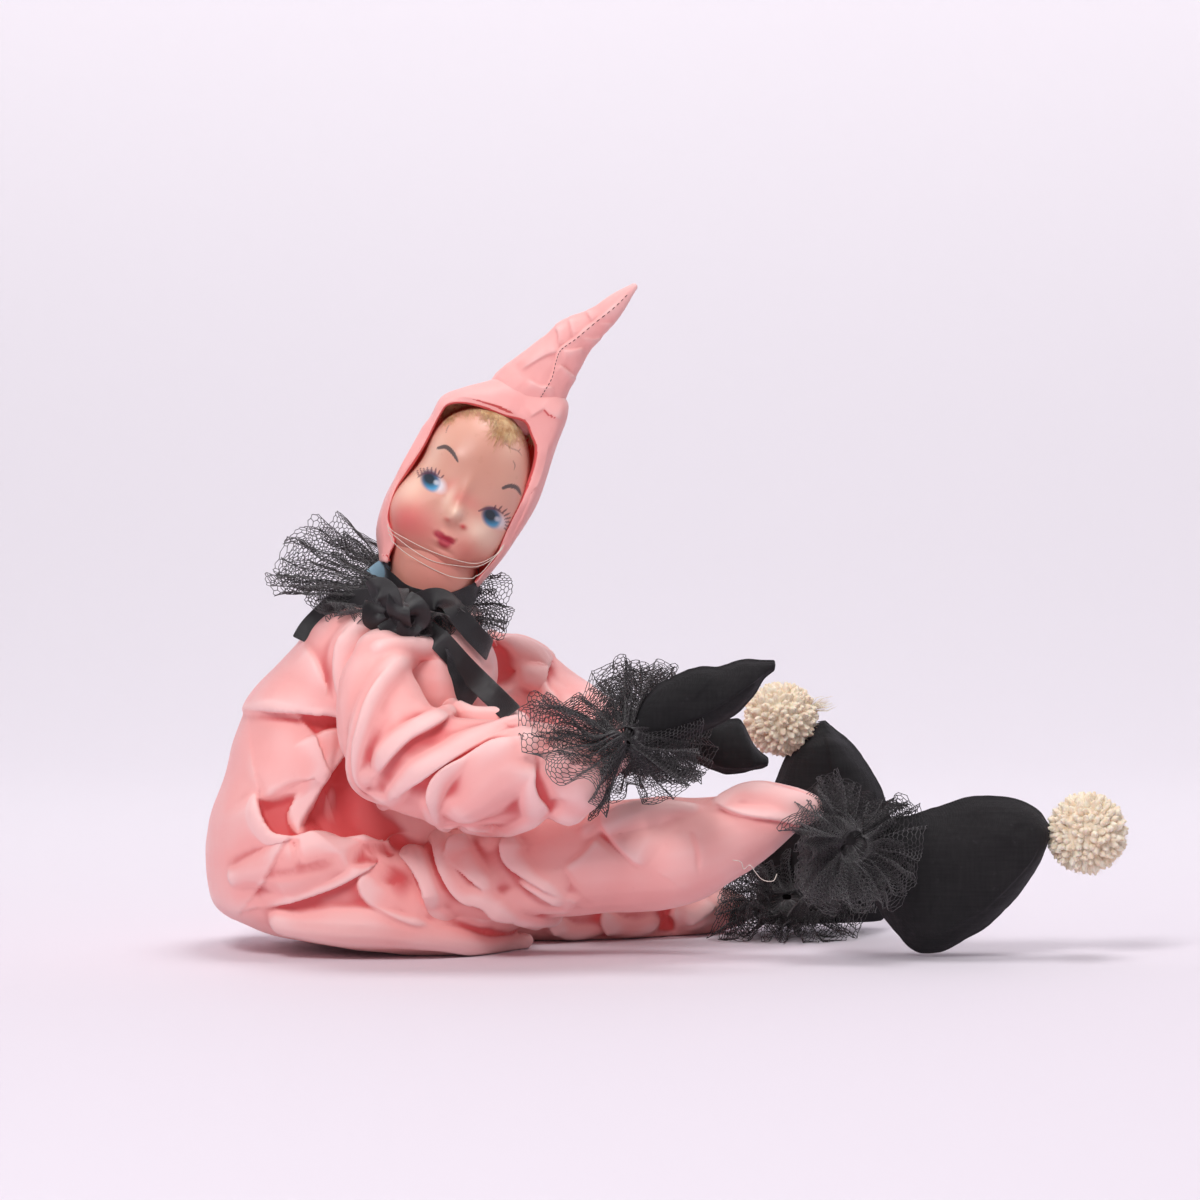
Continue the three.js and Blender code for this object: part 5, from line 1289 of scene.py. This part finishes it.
def makeFringe():
    dice = random.Random(fringe["seed"])
    tree = treeOn(bpy.data.objects["mouldedFace"])
    roots = smoothRow(fringe["roots"], 200)
    steps = fringe["steps"]
    forms = []
    for i in range(fringe["count"]):
        share = dice.random()
        rx, ry = roots[int(share * 199)] + np.array([dice.gauss(0, 1.6), dice.gauss(-0.5, 1.8)])
        if dice.random() < fringe["lockShare"]:  # these belong to the long lock
            rx, ry = fringe["lock"][0] + dice.gauss(0, 6), fringe["lock"][1] + dice.gauss(0, 2.5)
            length, heading = dice.uniform(14, 32), math.radians(100 + dice.gauss(0, 9))
        else:
            length, heading = dice.uniform(7, 17), math.radians(80 + dice.gauss(0, 30))
        curl = dice.gauss(0, 0.5)
        points, x, y, a = [], rx, ry, heading
        for step in range(steps + 1):
            spot = Vector(landOn(tree, x, y, 0))
            lift = 0.0003 + 0.0010 * math.sin(step / steps * math.pi) * dice.uniform(0.2, 1)
            points.append(np.array(spot - pixelRay(x, y)[1] * lift))
            x, y, a = x + math.cos(a) * length / steps, y + math.sin(a) * length / steps, a + curl / 3
        forms.append(hairForm(points, fringe["size"] * dice.uniform(0.8, 1.5)))
    piece = newPiece("hairFringe", *gathered(forms))
    dressed(piece, blondHair, ["hair_fringe"], "head")


def hairMaterial():
    made, n, look, where = newMaterial("blondHair", **{"Roughness": 0.45, "Sheen Weight": 0.2,
        "Specular IOR Level": 0.6})
    tone = n.noise(where, 260.0, 2.0)
    base = n.blendColour(n.span(tone, 0.3, 0.7, 0, 1, True), srgb(214, 158, 104), srgb(246, 214, 166))
    n.link(base, look.inputs["Base Color"])
    return made


blondHair = hairMaterial()
makeFringe()


# clear threads under the chin, the blue cloth inside the neck, a loose thread on the near trouser leg
chinThreads = [
    [(388, 524), (394, 531), (403, 537), (426, 549), (453, 559), (476, 563), (493, 556), (503, 546)],
    [(388, 528), (396, 536), (410, 547.5), (430, 560), (453, 565), (476, 566), (493, 557.5), (504, 545)],
    [(389, 534), (396, 543), (408, 554), (430, 567.5), (450, 576), (466, 577.5), (480, 574), (494, 558),
        (503, 548)],
]
clearNylon = newMaterial("clearNylon", **{"Base Color": srgb(238, 226, 214), "Roughness": 0.25,
    "Coat Weight": 0.4})[0]


def makeChinThreads():
    tree = treeOn(bpy.data.objects["mouldedFace"])
    for i, pixels in enumerate(chinThreads):
        row = []
        for px, py in smoothRow(pixels, 60):
            eye, way = pixelRay(px, py)
            hit = tree.ray_cast(eye, way)[0]
            row.append([*(hit - way * 0.0004 if hit else Vector(atPhoto(px, py, -24)))])
        row = np.array(row)
        for _ in range(200):
            row[1:-1, 1] = np.minimum(row[1:-1, 1], (row[:-2, 1] + row[2:, 1]) / 2)
        made = newPiece(f"chinThread{i + 1}", *tubeForm(np.hstack([row, np.full((60, 1), 0.00016)]), 8))
        dressed(made, clearNylon, [f"chin_thread_{i + 1}"], "head")


def makeNeckCloth():  # shows between the ribbon's knot and the ruff
    foot, top = Vector((0.0215, -0.006, 0.1385)), Vector((0.0240, -0.006, 0.1600))
    core = tubeForm([[*foot, 0.0120], [*top, 0.0120]], 40)
    rows = smoothRow([[*atPhoto(366, 590, -8), 0.0030], [*atPhoto(373, 580, -8), 0.0048],
        [*atPhoto(381, 570, -8), 0.0040]], 12)
    made = newPiece("neckCloth", *gathered([core, tubeForm(rows, 20, 0.5, (0, -1, 0.02))]))
    colours = srgb(158, 190, 206), srgb(138, 170, 190), srgb(176, 200, 212)
    blueCloth = clothMaterial("blueCloth", *colours, 0.8, 0.2, srgb(220, 235, 245), 0.6)
    dressed(made, blueCloth, ["neck_stump"], "torso")


def makeLooseThread():
    pixels = [(733, 860), (741, 862), (744, 869), (750, 865), (756, 873), (763, 880), (773, 881), (777, 874)]
    row = smoothRow([[*atPhoto(px, py, -58 + (i % 3) * 2), 0.00016] for i, (px, py) in enumerate(pixels)], 40)
    made = newPiece("looseThread", *tubeForm(row, 6))
    dressed(made, clearNylon, body="right_lower_leg")


makeChinThreads()
makeNeckCloth()
makeLooseThread()


# black net: strips of hexagon mesh, gathered at the middle and spread into frills
netThread = {
    "cell": 0.0026, "thread": 0.00018, "cover": 0.42,  # cover is the share of the strip that is thread
    # for each layer: how far it reaches, how uneven its edge is, and how much of the root's ring it starts from
    "reach": (1, 1, 1, 0.62), "uneven": (0.1, 0.28, 0.42, 0.2), "start": (None, 1, 1, 0.5),
    "ripples": 17, "pleats": 29, "layerTurn": 0.37,
}


def netMaterial():
    made, n, look, where = newMaterial("blackNet", **{"Roughness": 0.62, "Sheen Weight": 0.3,
        "Sheen Roughness": 0.5})
    tone = n.noise(where, 420.0, 3.0)
    age = groupIn(n, ageGroup, Vector=where, Size=34.0)
    base = n.blendColour(n.span(tone, 0.35, 0.7, 0, 1, True), srgb(24, 18, 23), srgb(42, 33, 39))
    base = n.blendColour(n.maths("MULTIPLY", age.outputs["Marks"], 0.3), base, srgb(70, 60, 68))
    n.link(base, look.inputs["Base Color"])
    bumps = n.add("ShaderNodeBump", {"Strength": 0.4, "Distance": 0.0001, "Height": n.noise(where, 3000.0, 2.0)})
    n.link(bumps.outputs[0], look.inputs["Normal"])
    return made


blackNet = netMaterial()
frills = {
    "neckRuff": {
        "body": "torso", "nodes": ["neck_ruff"],
        "middle": (405, 596, -14), "root": 0.013, "length": 0.42, "height": 0.046, "layers": 3,
        "spread": (0, 1.5, -2), "shut": 1.0, "seed": 4,
        "lobes": [(270, 572, -22), (283, 540, -8), (306, 520, 4), (340, 519, 16), (380, 545, 30), (430, 566, 34),
            (474, 570, 24), (503, 568, 8), (507, 598, -6), (506, 626, -18), (478, 614, -36), (452, 622, -42),
            (420, 630, -46), (385, 626, -44), (350, 612, -42), (318, 612, -34), (292, 588, -30)],
        "wave": 0.004, "crumple": 0.0035,
    },
    "rightWristFrill": {
        "body": "right_forearm", "beyond": "right_hand", "pivot": (0.1004, -0.0659, 0.0829),
        "nodes": ["right_wrist_ruffle", "right_wrist_gather"],
        "middle": (626, 742, -68), "root": 0.009, "length": 0.36, "height": 0.043, "layers": 4,
        "spread": (-10, 8, -4, -12), "shut": 0.2, "seed": 11,
        "lobes": [(524, 728, -82), (532, 690, -78), (570, 700, -60), (600, 668, -52), (626, 650, -58),
            (650, 664, -50), (676, 672, -48), (700, 700, -56), (702, 745, -70), (698, 776, -80), (690, 792, -76),
            (664, 800, -62), (640, 790, -50), (600, 800, -58), (597, 824, -76), (580, 790, -86), (540, 760, -88)],
        "wave": 0.004, "crumple": 0.0035,
    },
    "leftWristFrill": {
        "body": "left_forearm", "beyond": "left_hand", "pivot": (0.1112, 0.0247, 0.0954),
        "nodes": ["left_wrist_ruffle", "left_wrist_gather"],
        "middle": (655, 727, 24), "root": 0.008, "length": 0.28, "height": 0.034, "layers": 2,
        "spread": (-9, 7), "shut": 0.2, "seed": 15,
        "lobes": [(590, 690, 30), (615, 668, 22), (640, 662, 12), (665, 668, 2), (690, 690, 0), (712, 720, 6),
            (715, 755, 14), (700, 778, 20), (668, 782, 30), (636, 775, 42), (608, 752, 50), (590, 720, 44)],
        "wave": 0.004, "crumple": 0.003,
    },
    "rightAnkleFrill": {
        "body": "right_lower_leg", "beyond": "right_foot", "pivot": (0.2062, -0.0306, 0.0480),
        "nodes": ["right_ankle_ruffle", "right_ankle_gather"],
        "middle": (850, 838, -31), "root": 0.012, "length": 0.36, "height": 0.040, "layers": 4, "coarse": 1.12,
        "spread": (-13, 10, -4, -17), "shut": 0.2, "seed": 22,
        "lobes": [(806, 790, -36), (822, 768, -28), (850, 776, -18), (880, 800, -12), (908, 796, -16),
            (924, 812, -24), (922, 850, -44), (918, 880, -54), (895, 900, -58), (862, 905, -60), (830, 908, -54),
            (800, 900, -46), (790, 878, -40), (800, 850, -50), (796, 822, -52)],
        "wave": 0.004, "crumple": 0.003,
    },
    "leftAnkleFrill": {
        "body": "left_lower_leg", "beyond": "left_foot", "pivot": (0.1686, 0.0723, 0.0178),
        "nodes": ["left_ankle_ruffle", "left_ankle_gather"],
        "middle": (786, 895, 66), "root": 0.011, "length": 0.36, "height": 0.040, "layers": 4, "coarse": 1.12,
        "spread": (-11, 10, -2, -15), "shut": 0.2, "seed": 27,
        "lobes": [(714, 900, 50), (708, 930, 44), (720, 944, 36), (750, 940, 28), (780, 944, 24), (812, 946, 26),
            (842, 946, 34), (868, 930, 48), (880, 900, 66), (868, 866, 84), (836, 842, 94), (800, 832, 96),
            (764, 844, 90), (734, 862, 78), (720, 880, 62)],
        "wave": 0.004, "crumple": 0.003,
    },
}


def hexStrip(length, height, cell):  # corners and threads of a flat strip of hexagon net
    side = cell / math.sqrt(3)
    index, spots, threads = {}, [], set()

    def corner(x, y):
        key = (round(x / cell * 20), round(y / cell * 20))
        if key not in index:
            index[key] = len(spots)
            spots.append((x, y))
        return index[key]

    rows, columns = int(height / (1.5 * side)), int(length / cell)
    for r in range(rows):
        for c in range(columns):
            cx, cy = c * cell + (cell / 2 if r % 2 else 0), r * 1.5 * side + side
            ring = [corner(cx + side * math.sin(math.radians(60 * k)),
                cy + side * math.cos(math.radians(60 * k))) for k in range(6)]
            for k in range(6):
                threads.add(tuple(sorted((ring[k], ring[(k + 1) % 6]))))
    return np.array(spots), np.array(sorted(threads))


def makeNet(name, spec):
    spots, threads = hexStrip(spec["length"], spec["height"], netThread["cell"] * spec.get("coarse", 1.0))
    middle = np.array(atPhoto(*spec["middle"]))
    tips = np.array([atPhoto(*p) for p in spec["lobes"]])
    reach = tips - middle
    closed = np.vstack([reach[-1:], reach, reach[:2]])
    table = smoothRow(closed, 20 * (len(closed) - 1) + 1)[20:-20]
    verts, faces, count = [], [], 0
    for layer in range(spec["layers"]):
        dice = np.random.RandomState(spec["seed"] + layer)
        phase = dice.uniform(0, 6.28, 6)
        u = np.clip(spots[:, 0] / spec["length"], 0, 1)
        v = np.clip(spots[:, 1] / spec["height"], 0, 1)
        turns = (u + layer * netThread["layerTurn"]) % 1.0 * (len(table) - 1)
        lo = turns.astype(int)
        way = table[lo] + (table[np.minimum(lo + 1, len(table) - 1)] - table[lo]) * (turns - lo)[:, None]
        ahead = table[(lo + 12) % len(table)] - table[(lo - 12) % len(table)]
        ahead /= np.linalg.norm(ahead, axis=1)[:, None]
        size = np.linalg.norm(way, axis=1)
        out = way / size[:, None]
        up = np.cross(out, ahead)
        short = netThread["reach"][layer] - netThread["uneven"][layer] * (0.5 + 0.5 * np.sin(u * 23 + phase[0]))
        root = spec["root"] * (netThread["start"][layer] or spec["shut"])
        far = (root + (size - root) * v ** 0.85 * short)
        place = middle + out * far[:, None] + np.array([0, spec["spread"][layer] * 0.001, 0])
        turned = u * 2 * math.pi * netThread["ripples"] + phase[1]
        ripple = np.sin(turned + 2 * np.sin(u * 9 + phase[2])) * v * spec["wave"]
        ripple = ripple * (1 + 0.5 * np.sin(u * 31 + phase[3]))
        place += up * (ripple + layer * 0.0025 * v)[:, None]
        pleat = np.sin(u * 2 * math.pi * netThread["pleats"] + phase[4])
        place += ahead * (pleat * v * spec["wave"] * 0.35)[:, None]
        for axis in range(3):
            start = Vector((axis * 9 + layer * 5, phase[5], spec["seed"]))
            shift = np.array([noise.noise(Vector(p) * 60 + start) for p in place])
            place[:, axis] += shift * spec["crumple"] * (0.25 + v if layer < 3 else 2.0)
        place[:, 2] = np.maximum(place[:, 2], 0.0006)
        a, b = place[threads[:, 0]], place[threads[:, 1]]
        way = b - a
        way /= np.maximum(np.linalg.norm(way, axis=1), 1e-9)[:, None]
        side = np.cross(way, [0.31, 0.77, 0.55])
        side /= np.maximum(np.linalg.norm(side, axis=1), 1e-9)[:, None]
        other = np.cross(way, side)
        size = netThread["thread"]
        round3 = [size * (math.cos(third * k) * side + math.sin(third * k) * other) for k in range(3)]
        block = np.stack([end + off for end in (a, b) for off in round3], 1).reshape(-1, 3)
        base = np.arange(len(a)) * 6 + count
        for k in range(3):
            faces.append(np.stack([base + k, base + (k + 1) % 3, base + 3 + (k + 1) % 3, base + 3 + k], 1))
        verts.append(block)
        count += len(block)
    piece = newPiece(name, np.vstack(verts), [tuple(int(i) for i in f) for f in np.vstack(faces)])
    if "beyond" in spec:  # a frill at a wrist or ankle is left fixed where it lies, on no body
        pivot = Vector(spec["pivot"])
        start, end = tuple(pivot - Vector((0.008, 0, 0))), tuple(pivot + Vector((0.02, 0, 0)))
        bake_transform(piece)
    else:
        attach(piece, spec["body"])
    dressed(piece, blackNet, spec["nodes"])


for label, values in frills.items():
    makeNet(label, values)


# black satin ribbon: band, knot and four tails. Rows are pixels and how far it lies off the suit, in mm
blackRibbon = clothMaterial("blackRibbon", srgb(38, 34, 38), srgb(26, 24, 27), srgb(64, 60, 66), 0.34, 0.3,
    srgb(200, 195, 205), 0.5, 1700.0, 0.6)
ribbons = {
    "width": 0.0100, "thick": 0.00035, "bandHalf": (0.0203, 0.0232), "bandLength": 0.137, "knotLength": 0.085,
    "bandMiddle": (432, 574, -6), "bandLean": (11, 30),
    "knot": [
        [(370, 594, -44), (378, 588, -47), (388, 594, -49), (392, 608, -48), (388, 620, -45)],
        [(398, 588, -40), (397, 600, -48), (399, 614, -50), (402, 626, -46)],
        [(376, 604, -46), (372, 614, -47), (378, 624, -46), (390, 628, -44)],
        [(386, 620, -47), (394, 632, -47), (406, 630, -46), (414, 622, -44)],
        [(404, 600, -46), (414, 606, -48), (420, 616, -46), (412, 624, -44)],
    ],
    "ribbonTailBack": {"node": "ribbon_tail_back", "rows": [(388, 600, 12), (369, 596, 13), (352, 598, 13),
        (336, 603, 12), (320, 613, 9), (308, 628, 5), (302, 641, 3)], "turn": 0.0},
    "ribbonTailFront": {"node": "ribbon_tail_front", "rows": [(410, 614, 8), (421, 603, 12), (434, 594, 15),
        (446, 596, 17), (455, 610, 17), (470, 630, 14), (490, 651, 9)], "turn": 0.5},
    "ribbonTailLong": {"node": "ribbon_tail_long", "rows": [(408, 622, 2.5), (422, 625, 3), (434, 634, 2.5),
        (450, 652, 2), (470, 673, 1.6), (492, 695, 1.4), (512, 714, 1.2)], "turn": 0.0},
    "ribbonTailInner": {"node": None, "rows": [(450, 650, 1.5), (454, 664, 1.5), (459, 680, 1.5), (465, 694, 1.5),
        (472, 705, 1.5)], "turn": 2.0},
}


def ribbonForm(row, facing, width):  # a flat strip with softly curling edges
    verts, faces = [], []
    n = len(row)
    for i in range(n):
        way = unit(row[min(i + 1, n - 1)] - row[max(i - 1, 0)])
        side = unit(np.cross(way, facing[i]))
        up = unit(np.cross(side, way))
        if np.dot(up, facing[i]) < 0:
            up = -up
        curl = 0.0004 * math.sin(i * 0.37) + 0.0002
        for s in (-1, -0.5, 0, 0.5, 1):
            verts.append(row[i] + side * s * width / 2 + up * (curl * s * s))
    for i in range(n - 1):
        for k in range(4):
            a = i * 5 + k
            faces.append((a, a + 5, a + 6, a + 1))
    return np.array(verts), faces


def makeRibbons():
    names = ("suitBody", "rightSleeve", "leftSleeve")
    meshes = [bpy.data.objects[k].data for k in names]
    tree = treeOf([([v.co for v in mesh.vertices], [tuple(p.vertices) for p in mesh.polygons]) for mesh in meshes])
    width = ribbons["width"]
    for name in ("ribbonTailBack", "ribbonTailFront", "ribbonTailLong", "ribbonTailInner"):
        spec = ribbons[name]
        rows = smoothRow(spec["rows"], 44)
        line, facing = [], []
        for px, py, off in rows:
            eye, way = pixelRay(px, py)
            hit, normal = tree.ray_cast(eye, way)[:2]
            if hit is None:
                hit, normal = Vector(atPhoto(px, py, -36)), Vector((0, -1, 0))
            line.append([*(hit - way * off * 0.001)])
            facing.append([*(normal.normalized() * 0.5 + Vector((spec["turn"], -1, 0.1 - spec["turn"] * 0.4)))])
        line, facing = np.array(line), np.array(facing)
        for _ in range(60):
            mean = (line[:-2] + line[2:]) / 2
            line[1:-1] = np.where(line[1:-1, 1:2] > mean[:, 1:2], mean, line[1:-1])
            facing[1:-1] = (facing[:-2] + 2 * facing[1:-1] + facing[2:]) / 4
        finishRibbon(newPiece(name, *ribbonForm(line, facing, width)), spec["node"])
    middle = Vector(atPhoto(*ribbons["bandMiddle"]))
    sideways, forward = (math.radians(angle) for angle in ribbons["bandLean"])
    lean = Matrix.Rotation(sideways, 3, "Y") @ Matrix.Rotation(forward, 3, "X")
    wide, deep = ribbons["bandHalf"]
    line, facing = [], []
    for i in range(73):
        a = 2 * math.pi * i / 72
        line.append([*(middle + lean @ Vector((math.cos(a) * wide, math.sin(a) * deep, 0.0004 * math.sin(3 * a))))])
        facing.append([math.cos(a), math.sin(a), 0.2 * math.sin(7 * a)])
    band = newPiece("ribbonBand", *ribbonForm(np.array(line), np.array(facing), width))
    finishRibbon(band, "ribbon_band")
    loops = []
    for rows in ribbons["knot"]:
        line = smoothRow([[*atPhoto(*p)] for p in rows], 20)
        facing = np.array([[0.5 * math.sin(i * 0.3), -1, 0.5 * math.cos(i * 0.25)] for i in range(20)])
        loops.append(ribbonForm(line, facing, width))
    finishRibbon(newPiece("ribbonKnot", *gathered(loops)), "ribbon_knot")


def finishRibbon(piece, node):
    applyModifier(piece, "SOLIDIFY", thickness=ribbons["thick"], offset=0)
    applyModifier(piece, "SUBSURF", levels=2, render_levels=2)
    cleanMesh(piece)
    piece.data.shade_smooth()
    dressed(piece, blackRibbon, [node] if node else (), "torso")


makeRibbons()


# floor and light
def addStage():  # a floor that curves up into a lit backdrop, with no line between them
    edge, bend = 0.9, 1.4
    rows = [(-4.0, 0.0), (edge, 0.0)]
    rows += [(edge + bend * math.sin(a), bend - bend * math.cos(a)) for a in np.linspace(0, math.pi / 2, 25)[1:]]
    rows += [(edge + bend, 4.0)]
    verts = [(x, y, z) for y, z in rows for x in (-5.0, 5.0)]
    faces = [(2 * i, 2 * i + 1, 2 * i + 3, 2 * i + 2) for i in range(len(rows) - 1)]
    floor = newPiece("paleSweep", verts, faces)
    made, n, look, where = newMaterial("paleBackdrop", Roughness=0.75)
    look.inputs["Emission Color"].default_value = srgb(244, 236, 243)
    split = n.add("ShaderNodeSeparateXYZ", {"Vector": where})
    # painted shade: the floor is darker towards the front
    near = n.span(split.outputs[1], 0.9, -0.3, 0, 1, True)
    n.link(n.blendColour(near, srgb(240, 235, 243), srgb(224, 216, 226)), look.inputs["Base Color"])
    n.link(n.span(split.outputs[2], 0.0, 0.9, 0.0, 0.40, True), look.inputs["Emission Strength"])
    # seen from behind, the sweep lets the view through
    through = n.add("ShaderNodeMixShader", {0: n.add("ShaderNodeNewGeometry").outputs["Backfacing"]})
    n.link(look.outputs[0], through.inputs[1])
    n.link(n.add("ShaderNodeBsdfTransparent").outputs[0], through.inputs[2])
    out = next(node for node in made.node_tree.nodes if node.type == "OUTPUT_MATERIAL")
    n.link(through.outputs[0], out.inputs[0])
    floor.data.materials.append(made)


def addLights():
    world = bpy.data.worlds.new("paleRoom")
    bpy.context.scene.world = world
    world.use_nodes = True
    world.node_tree.nodes["Background"].inputs[0].default_value = srgb(246, 240, 243)
    world.node_tree.nodes["Background"].inputs[1].default_value = 0.38
    for name, place, aim, size, power in [
            ("softboxLeft", (-0.7, -2.1, 2.2), (0.05, 0, 0.1), 0.9, 48),
            ("softboxTop", (0.45, 0.1, 2.2), (0.1, 0, 0.1), 0.9, 20)]:
        bpy.ops.object.light_add(type="AREA", location=place)
        lamp = bpy.context.object
        lamp.name = name
        lamp.data.size = size
        lamp.data.energy = power
        lamp.rotation_mode = "QUATERNION"
        lamp.rotation_quaternion = (Vector(aim) - Vector(place)).to_track_quat("-Z", "Y")


addStage()
addLights()
bpy.context.scene.view_settings.view_transform = "Standard"
print("stage and lights made")
